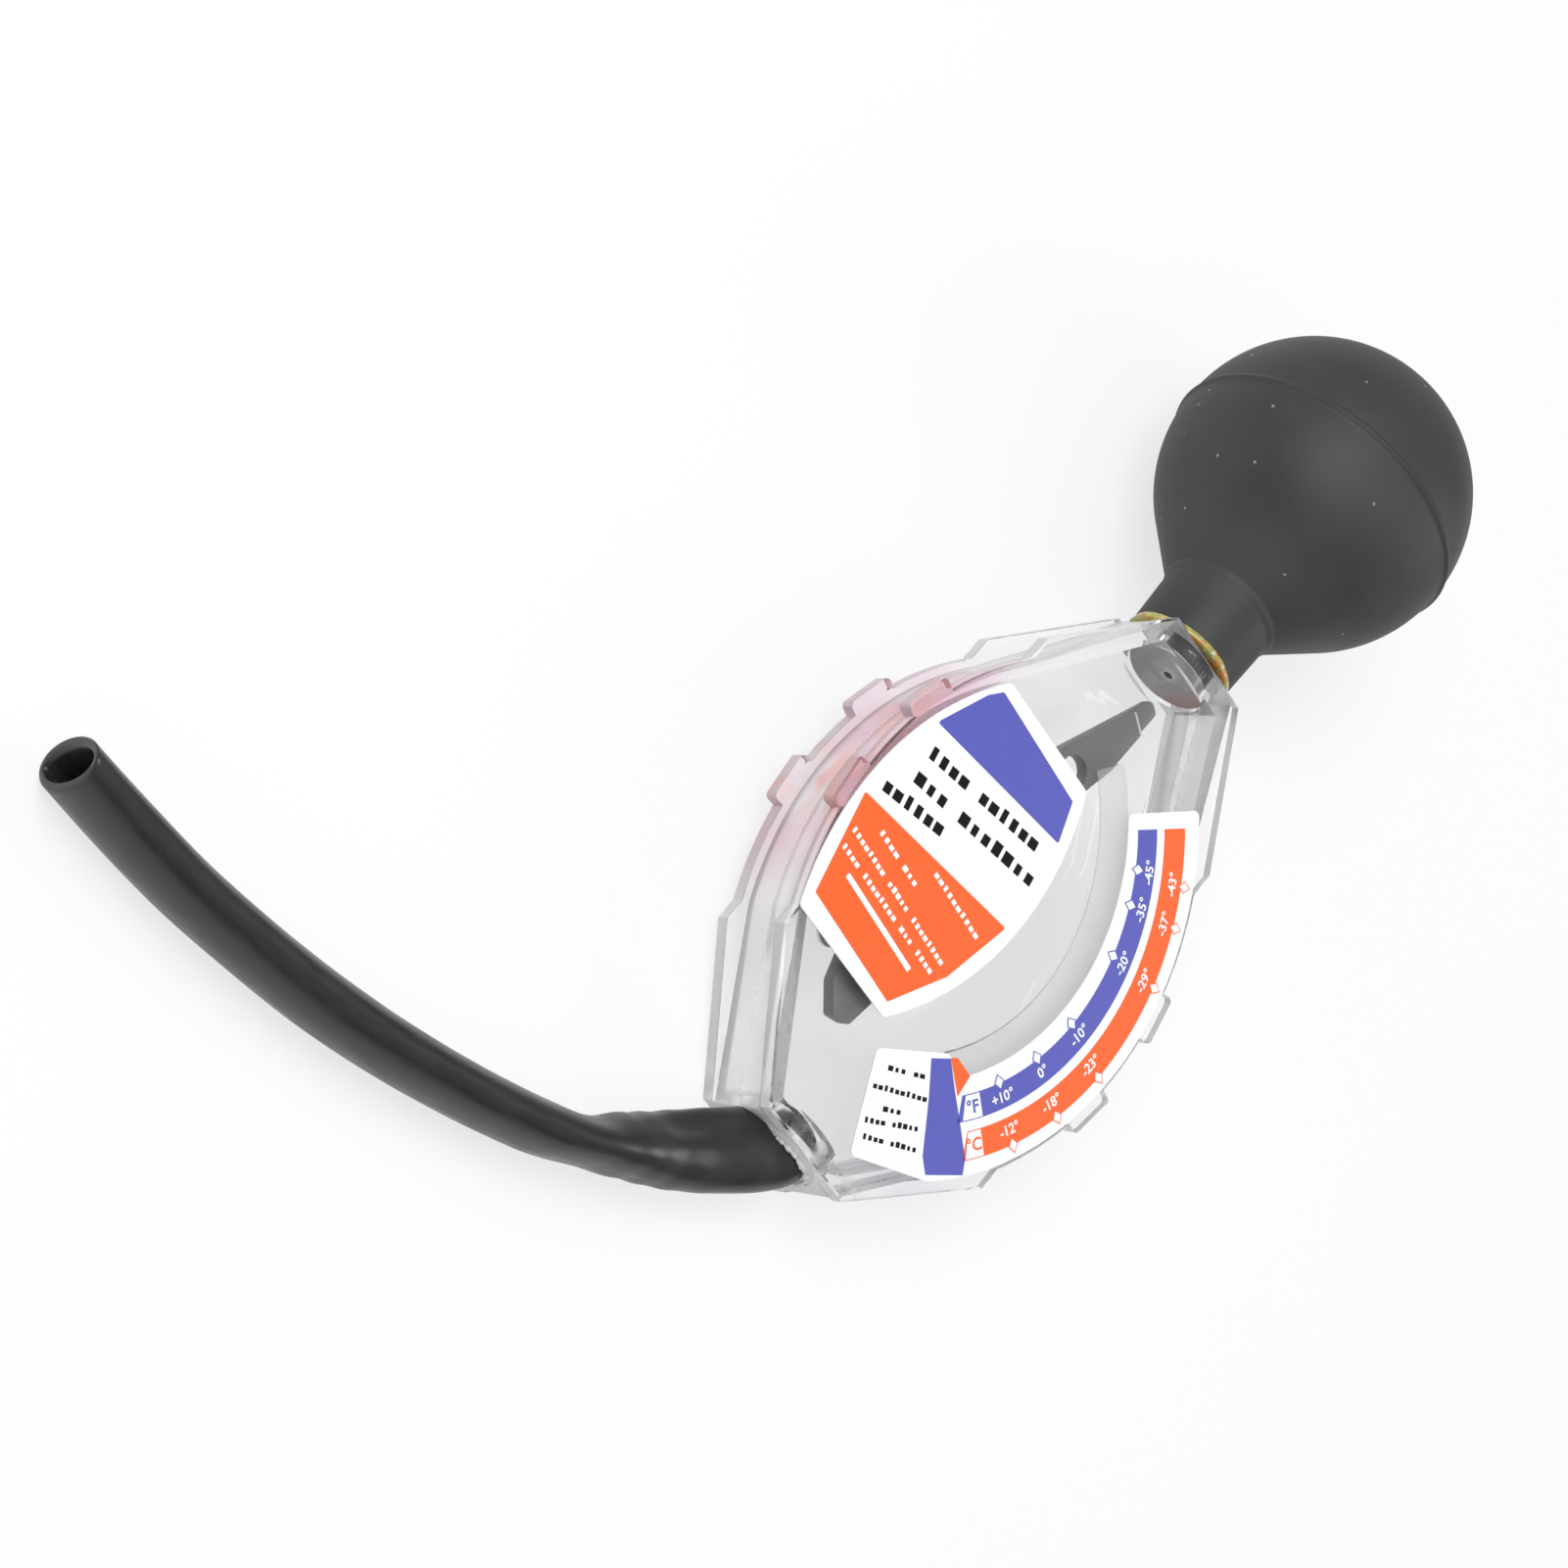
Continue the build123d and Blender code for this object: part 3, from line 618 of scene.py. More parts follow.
# Moulded skin: slow mottling of the colour and fine drawn-out scratches in gloss and height
moulded_skin, given, made = new_group(
    "moulded_skin",
    [("Vector", "NodeSocketVector", (0, 0, 0)), ("Colour", "NodeSocketColor", (0.5, 0.5, 0.5, 1)),
     ("Variation", "NodeSocketFloat", 0.05), ("Mottle Scale", "NodeSocketFloat", 80.0),
     ("Scratch Scale", "NodeSocketFloat", 400.0), ("Roughness", "NodeSocketFloat", 0.3),
     ("Roughness Spread", "NodeSocketFloat", 0.1)],
    SKIN_OUTPUTS,
)
SCRATCH_STRETCH = (1.0, 0.12, 1.0)
mottle = add_node(moulded_skin, "ShaderNodeTexNoise", inputs={"Detail": 3.0},
                  links={"Vector": given["Vector"], "Scale": given["Mottle Scale"]})
stretched = add_node(moulded_skin, "ShaderNodeVectorMath", {"operation": "MULTIPLY"}, {1: SCRATCH_STRETCH},
                     {0: given["Vector"]})
scratch = add_node(moulded_skin, "ShaderNodeTexNoise", inputs={"Detail": 3.0},
                   links={"Vector": stretched.outputs[0], "Scale": given["Scratch Scale"]})
off_middle = sum_of(moulded_skin, "SUBTRACT", mottle.outputs["Fac"], 0.5)
swell = sum_of(moulded_skin, "ADD", sum_of(moulded_skin, "MULTIPLY", off_middle, given["Variation"]), 1.0)
toned = add_node(moulded_skin, "ShaderNodeVectorMath", {"operation": "SCALE"},
                 links={0: given["Colour"], "Scale": swell})
moulded_skin.links.new(toned.outputs["Vector"], made["Colour"])
scratched = sum_of(moulded_skin, "SUBTRACT", scratch.outputs["Fac"], 0.5)
rubbed = sum_of(moulded_skin, "MULTIPLY", scratched, given["Roughness Spread"])
moulded_skin.links.new(sum_of(moulded_skin, "ADD", rubbed, given["Roughness"]), made["Roughness"])
moulded_skin.links.new(sum_of(moulded_skin, "ADD", scratch.outputs["Fac"], off_middle), made["Height"])


def housing_place(finish):
    """A material's place in the housing's own axes, in metres: x across, y along, z level."""
    middle = Matrix.Rotation(-TILT, 3, "X") @ HOUSING_MIDDLE
    mapping = add_node(finish.node_tree, "ShaderNodeMapping", {"vector_type": "POINT"},
                       {"Location": -middle, "Rotation": (-TILT, 0, 0)}, {"Vector": object_place(finish)})
    return mapping.outputs["Vector"]


def housing_axes(finish):
    """A material's tree, its place in the housing's own axes, and that place's three parts."""
    place = housing_place(finish)
    return finish.node_tree, place, add_node(finish.node_tree, "ShaderNodeSeparateXYZ", links={0: place})


def tinted(tree, base, tint, mask):
    """A colour mixed towards a tint by a mask; the base is a colour or a socket."""
    mix = add_node(tree, "ShaderNodeMix", {"data_type": "RGBA"}, {"B": tint}, {"Factor": mask})
    if isinstance(base, tuple):
        mix.inputs["A"].default_value = base
    else:
        tree.links.new(base, mix.inputs["A"])
    return mix.outputs["Result"]


def blotches(tree, place, scale, low, high, seed):
    """Soft patches of noise, 0 to 1."""
    noise = add_node(tree, "ShaderNodeTexNoise", {"noise_dimensions": "4D"},
                     {"Scale": scale, "Detail": 2.0, "W": seed}, {"Vector": place})
    return eased(tree, noise.outputs["Fac"], low, high)


def colour_with_label_reflections(tree, place, axes, tints):
    """The moulding's plain colour, with painted reflections of the labels: pink and salmon at its upper left
    and lilac below.
    """
    pink_reflection, salmon_reflection, lilac_reflection = tints
    left_side = eased(tree, axes.outputs["X"], *LEFT_SIDE)
    upper_left = sum_of(tree, "MULTIPLY", left_side, eased(tree, axes.outputs["Y"], *ABOVE_FOOT))
    upper_left = sum_of(tree, "MULTIPLY", upper_left, eased(tree, axes.outputs["Y"], *BELOW_NECK))
    pink = sum_of(tree, "MULTIPLY", upper_left,
                  blotches(tree, place, scale=60.0, low=0.25, high=0.5, seed=2.0))
    outer = eased(tree, axes.outputs["X"], *OUTER_LEFT)
    salmon = sum_of(tree, "MULTIPLY", outer,
                    blotches(tree, place, scale=80.0, low=0.42, high=0.58, seed=7.0))
    salmon = sum_of(tree, "MULTIPLY", upper_left, salmon)
    lower = eased(tree, axes.outputs["Y"], *LOWER_END)
    lower_right = sum_of(tree, "MULTIPLY", lower, eased(tree, axes.outputs["X"], *RIGHT_SIDE))
    lilac = sum_of(tree, "MULTIPLY", lower_right, LILAC_REFLECTION_SHARE)
    upper = tinted(tree, tinted(tree, PLAIN_TINT, pink_reflection, pink), salmon_reflection, salmon)
    return tinted(tree, upper, lilac_reflection, lilac)


def frosting(tree, place, axes, plain_roughness):
    """Roughness that rises in patches where the hose's solvent cement has run."""
    near_hose = eased(tree, axes.outputs["Y"], *NEAR_HOSE)
    frost = sum_of(tree, "MULTIPLY", near_hose,
                   blotches(tree, place, scale=420.0, low=0.42, high=0.6, seed=4.0))
    return sum_of(tree, "ADD", sum_of(tree, "MULTIPLY", frost, FROST_ROUGHNESS), plain_roughness)


POLISHED = 0.03
clear_plastic = new_finish("clear_plastic", PLAIN_TINT[:3], POLISHED,
                           {"Transmission Weight": 1.0, "IOR": 1.32, "Coat Weight": 0.25})
# Its colour carries painted reflections of the labels
tree, place, axes = housing_axes(clear_plastic)
put_skin(clear_plastic, moulded_skin,
         {"Variation": 0.02, "Mottle Scale": 30.0, "Scratch Scale": 160.0, "Roughness Spread": 0.01},
         place, 0.006 * MM, colour_with_label_reflections(tree, place, axes, CLEAR_LABEL_REFLECTIONS),
         frosting(tree, place, axes, POLISHED))

# The mouldings' outer walls and edges are satin from the tool. Painted shade draws thin dark lines
# along them at the front and back faces and where the plates meet the chamber's wall.
SATIN = 0.3
OUTER_EDGE_SHADE = (0.00797, 0.00808)
INNER_EDGE_SHADE = (0.0002, 0.00009)
EDGE_SHADE_TINT = (0.3, 0.3, 0.31, 1)
EDGE_SHADE_SHARE = 0.75
clear_satin = new_finish("clear_satin", PLAIN_TINT[:3], SATIN,
                         {"Transmission Weight": 0.38, "IOR": 1.4, "Coat Weight": 0.3})
tree, place, axes = housing_axes(clear_satin)
# Painted reflections of the labels, deeper on the satin edges
colour = colour_with_label_reflections(tree, place, axes, SATIN_LABEL_REFLECTIONS)
depth = sum_of(tree, "ABSOLUTE", axes.outputs["Z"], 0)
# Painted shade in thin dark lines at the outer faces and where the plates meet the wall
outer_edge_shade = eased(tree, depth, *OUTER_EDGE_SHADE)
from_plate = sum_of(tree, "ABSOLUTE", sum_of(tree, "SUBTRACT", depth, PLATE_LEVEL * MM), 0)
both_edge_shades = sum_of(tree, "MAXIMUM", outer_edge_shade, eased(tree, from_plate, *INNER_EDGE_SHADE))
painted_edge_shade = sum_of(tree, "MULTIPLY", both_edge_shades,
               blotches(tree, place, scale=150.0, low=0.35, high=0.55, seed=5.0))
colour = tinted(tree, colour, EDGE_SHADE_TINT, sum_of(tree, "MULTIPLY", painted_edge_shade, EDGE_SHADE_SHARE))
put_skin(clear_satin, moulded_skin,
         {"Variation": 0.12, "Mottle Scale": 120.0, "Scratch Scale": 300.0, "Roughness Spread": 0.1},
         place, 0.01 * MM, colour, frosting(tree, place, axes, SATIN))

FLAT_WITHIN = 0.3
JOINED_WITHIN = 0.002 * MM
WALL_BELOW = 0.5


def merged_copy(node, name, finish):
    """A CAD node's mesh with its loose triangles joined into clean faces."""
    form = bmesh.new()
    form.from_mesh(frame["nodes"][node].data)
    bmesh.ops.remove_doubles(form, verts=form.verts, dist=JOINED_WITHIN)
    bmesh.ops.dissolve_limit(form, angle_limit=radians(FLAT_WITHIN), verts=form.verts, edges=form.edges)
    mesh = bpy.data.meshes.new(name)
    form.to_mesh(mesh)
    form.free()
    mesh.materials.clear()
    mesh.materials.append(finish)
    for polygon in mesh.polygons:
        polygon.use_smooth = True
    return set_in_scene(name, mesh)


# There is a hair of room between the two shells, and between the front one and its labels.
# Walls that face outwards or stand on the plates are satin, and all other faces are clear.
squeeze = (HALF_DEPTH - LABEL_GAP - SEAM_GAP) / HALF_DEPTH
for node, side in (("front_shell", 1), ("back_shell", -1)):
    shell = merged_copy(node, node + "_moulding", clear_plastic)
    for vertex in shell.data.vertices:
        level = (vertex.co - HOUSING_MIDDLE).dot(FACING)
        vertex.co += FACING * (side * SEAM_GAP * MM + level * (squeeze - 1))
    shell.data.materials.append(clear_satin)
    for polygon in shell.data.polygons:
        outward = polygon.center - HOUSING_MIDDLE
        outward -= FACING * outward.dot(FACING)
        on_plate = abs((polygon.center - HOUSING_MIDDLE).dot(FACING)) > PLATE_LEVEL * MM
        on_wall = abs(polygon.normal.dot(FACING)) < WALL_BELOW
        if on_wall and (on_plate or polygon.normal.dot(outward) > 0):
            polygon.material_index = 1
    crease_at(shell, SHELL_CREASE)
    rides_on(shell, "housing", "clear_plastic", node)


def from_pivot(radius, angle):
    """A point at a distance from the pivot, at an angle clockwise from the bulb's side."""
    return (-PIVOT_OFFSET + radius * sin(radians(angle)), radius * cos(radians(angle)))


PLATE_CREASE = 30


def curved_bar(name, section, start, end, steps, finish):
    """A bar round the pivot whose section is given as radius and level, with closed ends."""
    points, faces, corners = [], [], len(section)
    for step in range(steps + 1):
        angle = start + (end - start) * step / steps
        points += [on_housing(*from_pivot(radius, angle), level) for radius, level in section]
    for step in range(steps):
        for corner in range(corners):
            on = (corner + 1) % corners
            here, beyond = step * corners, (step + 1) * corners
            faces.append((here + corner, here + on, beyond + on, beyond + corner))
    faces += [tuple(range(corners)), tuple(range(steps * corners, (steps + 1) * corners))]
    piece = make_piece(name, points, faces, finish)
    crease_at(piece, PLATE_CREASE)
    return piece


# The front shell has a low curved step moulded inside its plate, round the pivot. It guides
# the pointer's tip, and shows through the plate as a pale arc.
STEP_SECTION = [(33.4, 5.57), (33.8, 4.98), (38.4, 4.98), (38.9, 5.57)]
STEP_ROUGHNESS = 0.22
clear_step = new_finish("clear_step", PLAIN_TINT[:3], STEP_ROUGHNESS,
                        {"Transmission Weight": 0.8, "IOR": 1.32})
put_skin(clear_step, moulded_skin,
         {"Colour": PLAIN_TINT, "Variation": 0.04, "Mottle Scale": 60.0, "Scratch Scale": 160.0,
          "Roughness": STEP_ROUGHNESS, "Roughness Spread": 0.1}, housing_place(clear_step), 0.006 * MM)
step = curved_bar("front_shell_step", STEP_SECTION, start=30, end=126, steps=60, finish=clear_step)
rides_on(step, "housing", "clear_plastic")

# Flash: a beaded line of tiny pips along the seam of the two mouldings. They are clear plastic,
# and their glitter is painted glints of rough frosty white. The cement at the hose has the same finish.
FROST_AND_GLINT_WHITE = (0.93, 0.93, 0.92, 1)
FROST_TEXTURE = 0.45
frosted_cement = new_finish("frosted_cement", FROST_AND_GLINT_WHITE[:3], FROST_TEXTURE,
                            {"Transmission Weight": 0.25, "IOR": 1.45})
put_skin(frosted_cement, moulded_skin,
         {"Colour": FROST_AND_GLINT_WHITE, "Variation": 0.2, "Mottle Scale": 500.0, "Scratch Scale": 900.0,
          "Roughness": FROST_TEXTURE, "Roughness Spread": 0.3}, object_place(frosted_cement), 0.1 * MM)
beads_along, given, ending = new_tree(
    "beads_along",
    [("Spacing", "NodeSocketFloat"), ("Width", "NodeSocketFloat"), ("Length", "NodeSocketFloat"),
     ("Seed", "NodeSocketInt"), ("Kept", "NodeSocketFloat"), ("Smallest", "NodeSocketFloat"),
     ("Lumpiness", "NodeSocketFloat"), ("Tilt", "NodeSocketFloat"), ("Middle", "NodeSocketVector"),
     ("Finish", "NodeSocketMaterial")],
)
path = add_node(beads_along, "GeometryNodeMeshToCurve", links={0: given["Geometry"]})
spots = add_node(beads_along, "GeometryNodeCurveToPoints", {"mode": "LENGTH"},
                 links={"Curve": path.outputs[0], "Length": given["Spacing"]})
pip = add_node(beads_along, "GeometryNodeMeshUVSphere", inputs={"Segments": 8, "Rings": 5, "Radius": 1.0})
kept = add_node(beads_along, "FunctionNodeRandomValue", {"data_type": "BOOLEAN"},
                links={"Probability": given["Kept"], "Seed": given["Seed"]})
sized = add_node(beads_along, "FunctionNodeRandomValue", {"data_type": "FLOAT"}, {"Max": 1.0},
                 {"Min": given["Smallest"], "Seed": given["Seed"]})
shape = add_node(beads_along, "ShaderNodeCombineXYZ",
                 links={"X": given["Width"], "Y": given["Width"], "Z": given["Length"]})
scaled = add_node(beads_along, "ShaderNodeVectorMath", {"operation": "SCALE"},
                  links={0: shape.outputs[0], "Scale": sized.outputs["Value"]})
strung = add_node(beads_along, "GeometryNodeInstanceOnPoints",
                  links={"Points": spots.outputs["Points"], "Instance": pip.outputs["Mesh"],
                         "Selection": kept.outputs["Value"], "Rotation": spots.outputs["Rotation"],
                         "Scale": scaled.outputs[0]})
real = add_node(beads_along, "GeometryNodeRealizeInstances", links={"Geometry": strung.outputs[0]})
lumps = add_node(beads_along, "ShaderNodeTexNoise", inputs={"Scale": 1400.0, "Detail": 1.0})
lump = sum_of(beads_along, "SUBTRACT", lumps.outputs["Fac"], 0.5)
lump = sum_of(beads_along, "MULTIPLY", lump, given["Lumpiness"])
pushed = add_node(beads_along, "ShaderNodeVectorMath", {"operation": "SCALE"},
                  links={0: beads_along.nodes.new("GeometryNodeInputNormal").outputs[0], "Scale": lump})
lumpy = add_node(beads_along, "GeometryNodeSetPosition",
                 links={"Geometry": real.outputs[0], "Offset": pushed.outputs[0]})
beads_along.links.new(on_place(beads_along, lumpy.outputs[0], given), ending.inputs[0])


def beaded(name, path_points, finish, values):
    """A string of beads along a path given in the housing's axes, in millimetres."""
    edges = [(number, number + 1) for number in range(len(path_points) - 1)]
    return grown(name, beads_along, [Vector(point) * MM for point in path_points], edges,
                 {"Tilt": TILT, "Middle": HOUSING_MIDDLE, "Finish": finish, **values})


# The seam's two ends, and the arc of the housing's side that it follows between them
HOUSING_HALF_WIDTH = 33.3
SIDE_RADIUS = 53.2
WALL_INSET = 1.2
SEAM_FOOT = (9.0, -48.0)
SEAM_HEAD = (8.65, 55.6)
SEAM_FROM, SEAM_TO = radians(-28.2), radians(33.9)
SEAM_PARTS = 40
side_centre = HOUSING_HALF_WIDTH - SIDE_RADIUS
wall_radius = SIDE_RADIUS - WALL_INSET
seam_path = [SEAM_FOOT]
for part in range(SEAM_PARTS + 1):
    angle = SEAM_FROM + (SEAM_TO - SEAM_FROM) * part / SEAM_PARTS
    seam_path.append((side_centre + wall_radius * cos(angle), wall_radius * sin(angle)))
seam_path.append(SEAM_HEAD)
for side, way in (("right", 1), ("left", -1)):
    side_path = [(way * across, along, 0) for across, along in seam_path]
    flash = beaded("mould_flash_" + side, side_path, frosted_cement,
                   {"Spacing": 0.8 * MM, "Width": 0.13 * MM, "Length": 0.3 * MM, "Seed": 5, "Kept": 0.85,
                    "Smallest": 0.5, "Lumpiness": 0.0})
    rides_on(flash, "housing", "frosted_cement")

# The pointer is a moulded grey blade on a hub, with a brass weight pressed in. It turns on a
# steel pin held in both shells, and a blunt fixed arm on a leg stops it.
BEVELLED_ABOVE = 35
MOULDING_CREASE = 32
PLASTIC_GREY = (0.135, 0.135, 0.137)
WEIGHT_BRASS = (0.6, 0.45, 0.2)
PIN_STEEL = (0.6, 0.6, 0.61)


def eased_edges(piece, width):
    """Rounds a moulding's edges a little, as its mould does."""
    bevel = piece.modifiers.new("bevel", "BEVEL")
    bevel.width = width * MM
    bevel.segments = 2
    bevel.limit_method = "ANGLE"
    bevel.angle_limit = radians(BEVELLED_ABOVE)
    old = piece.data
    piece.data = plain_mesh(piece)
    piece.modifiers.clear()
    bpy.data.meshes.remove(old)
    crease_at(piece, MOULDING_CREASE)


def moulded_finish(name, colour, roughness, settings, bump, variation, mottle_scale, scratch_scale, spread):
    """A finish with the moulded skin on object coordinates."""
    finish = new_finish(name, colour, roughness, settings)
    put_skin(finish, moulded_skin,
             {"Colour": (*colour, 1), "Roughness": roughness, "Variation": variation,
              "Mottle Scale": mottle_scale, "Scratch Scale": scratch_scale, "Roughness Spread": spread},
             object_place(finish), bump)
    return finish


grey_plastic = moulded_finish("grey_plastic", PLASTIC_GREY, 0.42, {}, bump=0.03 * MM,
                              variation=0.5, mottle_scale=130.0, scratch_scale=700.0, spread=0.25)
weight_metal = moulded_finish("weight_metal", WEIGHT_BRASS, 0.3, {"Metallic": 1.0}, bump=0.01 * MM,
                              variation=0.3, mottle_scale=300.0, scratch_scale=2500.0, spread=0.3)
pin_metal = moulded_finish("pin_steel", PIN_STEEL, 0.25, {"Metallic": 1.0}, bump=0.01 * MM,
                           variation=0.15, mottle_scale=300.0, scratch_scale=2500.0, spread=0.25)
for node, body, finish, slot, easing in (
        ("pointer", "pointer", grey_plastic, "grey_plastic", 0.15),
        ("pointer_stop", "housing", grey_plastic, "grey_plastic", 0.15),
        ("pointer_weight", "pointer", weight_metal, "weight_metal", 0.06),
        ("pivot_pin", "housing", pin_metal, "pin_steel", 0.06)):
    piece = merged_copy(node, node + "_finished", finish)
    eased_edges(piece, easing)
    rides_on(piece, body, slot, node)

# A pale line crosses the blade where it steps down to its tip: a painted highlight where the step's
# edge catches light, and white stress marks. It is only a hair thick, and lies on the blade's face.
HIGHLIGHT_AND_STRESS_GREY = (0.62, 0.62, 0.62)
HIGHLIGHT_AND_STRESS_SECTION = [(43.9, 4.605), (43.9, 4.63), (44.25, 4.63), (44.25, 4.605)]
highlight_and_stress_finish = moulded_finish("painted_highlight_and_stress", HIGHLIGHT_AND_STRESS_GREY, 0.5, {}, bump=0.03 * MM,
                       variation=0.6, mottle_scale=900.0, scratch_scale=1500.0, spread=0.2)
highlight_and_stress_line = curved_bar("pointer_highlight_and_stress", HIGHLIGHT_AND_STRESS_SECTION, start=21.2, end=26.0, steps=12, finish=highlight_and_stress_finish)
rides_on(highlight_and_stress_line, "pointer", "grey_plastic")

# Cement at the bulb's neck: amber adhesive squeezed out in a thin uneven bead that has yellowed
# in patches and darkened to orange on the right.
AMBER = (0.62, 0.52, 0.12, 1)
OLIVE = (0.44, 0.44, 0.14, 1)
ORANGE_AMBER = (0.66, 0.29, 0.03, 1)
DEEP_AMBER = (0.68, 0.27, 0.02, 1)
PALE_FLECK = (0.85, 0.82, 0.66, 1)
DARKENED = (0.0055, 0.0075)
BEAD_OUTLINE = [(7.03, 55.64), (8.8, 55.64), (9.2, 55.62), (9.42, 55.7), (9.55, 55.95), (9.55, 56.25),
                (9.48, 56.55), (9.36, 56.8), (9.27, 56.88), (9.2, 56.7), (9.0, 56.48), (7.03, 56.48)]
amber_cement = new_finish("amber_cement", AMBER[:3], 0.25,
                          {"Transmission Weight": 0.25, "IOR": 1.5, "Coat Weight": 0.4})
tree, place, axes = housing_axes(amber_cement)
colour = tinted(tree, AMBER, OLIVE, blotches(tree, place, scale=620.0, low=0.38, high=0.62, seed=1.0))
colour = tinted(tree, colour, ORANGE_AMBER, blotches(tree, place, scale=420.0, low=0.48, high=0.64, seed=9.0))
colour = tinted(tree, colour, DEEP_AMBER, eased(tree, axes.outputs["X"], *DARKENED))
colour = tinted(tree, colour, PALE_FLECK, blotches(tree, place, scale=1100.0, low=0.6, high=0.68, seed=3.0))
put_skin(amber_cement, moulded_skin,
         {"Variation": 0.3, "Mottle Scale": 500.0, "Scratch Scale": 800.0, "Roughness": 0.25,
          "Roughness Spread": 0.2}, place, 0.12 * MM, colour)
bead = turned("neck_cement_bead", BEAD_OUTLINE, amber_cement,
              unevenness=1.1, even_radius=8.9, lump_scale=1.6, seed=3.3)
rides_on(bead, "housing", "amber_cement", "neck_cement")

# A grey disc on the spigot's flat end is a painted reflection: it stands for the clear end wall's sheen
# over the black spigot, paler round the hole where air passes and reddish on the right.
SHEEN_GREY = (0.35, 0.35, 0.355, 1)
SHEEN_PALE_GREY = (0.46, 0.46, 0.46, 1)
SHEEN_RING = (0.62, 0.6, 0.55, 1)
SHEEN_RED = (0.42, 0.24, 0.2, 1)
RED_SHARE = 0.8
RING_EDGE = (0.0023, 0.0012)
RED_SIDE = (0.002, 0.006)
OFF_AXIS = (1, 0, 1)
SHEEN_DISC_OUTLINE = [(0.8, 52.8), (6.9, 52.8), (6.98, 52.88), (6.98, 52.97), (0.8, 52.97)]
SHEEN_DISC_CREASE = 40
spigot_reflection_sheen = new_finish("spigot_reflection_sheen", SHEEN_GREY[:3], 0.5, {})
tree, place, axes = housing_axes(spigot_reflection_sheen)
colour = tinted(tree, SHEEN_GREY, SHEEN_PALE_GREY,
                blotches(tree, place, scale=260.0, low=0.42, high=0.6, seed=6.0))
sideways = add_node(tree, "ShaderNodeVectorMath", {"operation": "MULTIPLY"}, {1: OFF_AXIS}, {0: place})
off_axis = add_node(tree, "ShaderNodeVectorMath", {"operation": "LENGTH"}, links={0: sideways.outputs[0]})
by_hole = sum_of(tree, "MULTIPLY", eased(tree, off_axis.outputs["Value"], *RING_EDGE),
                 blotches(tree, place, scale=500.0, low=0.35, high=0.6, seed=8.0))
colour = tinted(tree, colour, SHEEN_RING, by_hole)
reddened = sum_of(tree, "MULTIPLY", eased(tree, axes.outputs["X"], *RED_SIDE), RED_SHARE)
colour = tinted(tree, colour, SHEEN_RED, reddened)
put_skin(spigot_reflection_sheen, moulded_skin,
         {"Variation": 0.2, "Mottle Scale": 400.0, "Scratch Scale": 700.0, "Roughness": 0.5,
          "Roughness Spread": 0.2}, place, 0.05 * MM, colour)
reflection_disc = turned("spigot_reflection_disc", SHEEN_DISC_OUTLINE, spigot_reflection_sheen)
crease_at(reflection_disc, SHEEN_DISC_CREASE)
rides_on(reflection_disc, "housing", "amber_cement")

# Cement at the hose: frosted solvent cement fills the socket round the hose and stands out in
# a low rough bead, with crumbs of it along its rim.
SOCKET_OUTLINE = [(5.25, -46.5), (6.4, -46.4), (7.25, -46.7), (7.25, -47.9), (7.05, -48.05), (6.75, -48.25),
                  (6.35, -48.4), (5.8, -48.45), (5.2, -48.35), (4.4, -48.1), (4.4, -47.5)]
RIM_ALONG = -48.4
RIM_HALF_WIDTH = 6.5
RIM_HALF_HEIGHT = 5.9
RIM_PARTS = 48
socket = turned("hose_cement_bead", SOCKET_OUTLINE, frosted_cement,
                unevenness=1.0, even_radius=7.3, lump_scale=2.6, seed=9.7)
rides_on(socket, "housing", "frosted_cement", "hose_cement")
rim_path = []
for part in range(RIM_PARTS + 1):
    angle = 2 * pi * part / RIM_PARTS
    rim_path.append((RIM_HALF_WIDTH * cos(angle), RIM_ALONG, RIM_HALF_HEIGHT * sin(angle)))
crumbs = beaded("hose_cement_crumbs", rim_path, frosted_cement,
                {"Spacing": 0.7 * MM, "Width": 0.62 * MM, "Length": 0.75 * MM, "Seed": 12, "Kept": 0.9,
                 "Smallest": 0.35, "Lumpiness": 0.5 * MM})
rides_on(crumbs, "housing", "frosted_cement")

# Labels: two printed white film stickers on the front face. The left one has a blue and an
# orange field, and the curved one carries the two scales round the pivot. Their inks are
# thin closed plates, layer on layer.
FILM_WHITE = (0.93, 0.945, 0.96)
FILM_BUMP = 0.008 * MM
printed_film = moulded_finish("printed_film", FILM_WHITE, 0.32, {"Coat Weight": 0.2, "Coat Roughness": 0.2},
                              bump=FILM_BUMP, variation=0.03, mottle_scale=60.0, scratch_scale=600.0,
                              spread=0.12)
for node in ("name_label", "scale_label"):
    frame["nodes"][node].data.materials.clear()
    frame["nodes"][node].data.materials.append(printed_film)


def ink(name, colour, coat=0.2, shine=0.5):
    """A printed ink with a thin gloss and slight unevenness."""
    settings = {"Coat Weight": coat, "Coat Roughness": 0.2, "Specular IOR Level": shine}
    return moulded_finish(name, colour, 0.36, settings, bump=FILM_BUMP,
                          variation=0.1, mottle_scale=220.0, scratch_scale=900.0, spread=0.12)


blue_ink = ink("blue_ink", (0.088, 0.098, 0.48))
orange_ink = ink("orange_ink", (1.0, 0.125, 0.01))
black_ink = ink("black_ink", (0.008, 0.008, 0.009), coat=0.0, shine=0.12)
white_ink = ink("white_ink", FILM_WHITE)
FIRST_PRINT = 8.404
SECOND_PRINT = 8.427
THIRD_PRINT = 8.45
PRINT_THICKNESS = 0.02
SCALE_CENTRE = (-16.7, -0.3)
CORNER_ROUND = 0.35
SHARPEST_KEPT = 85


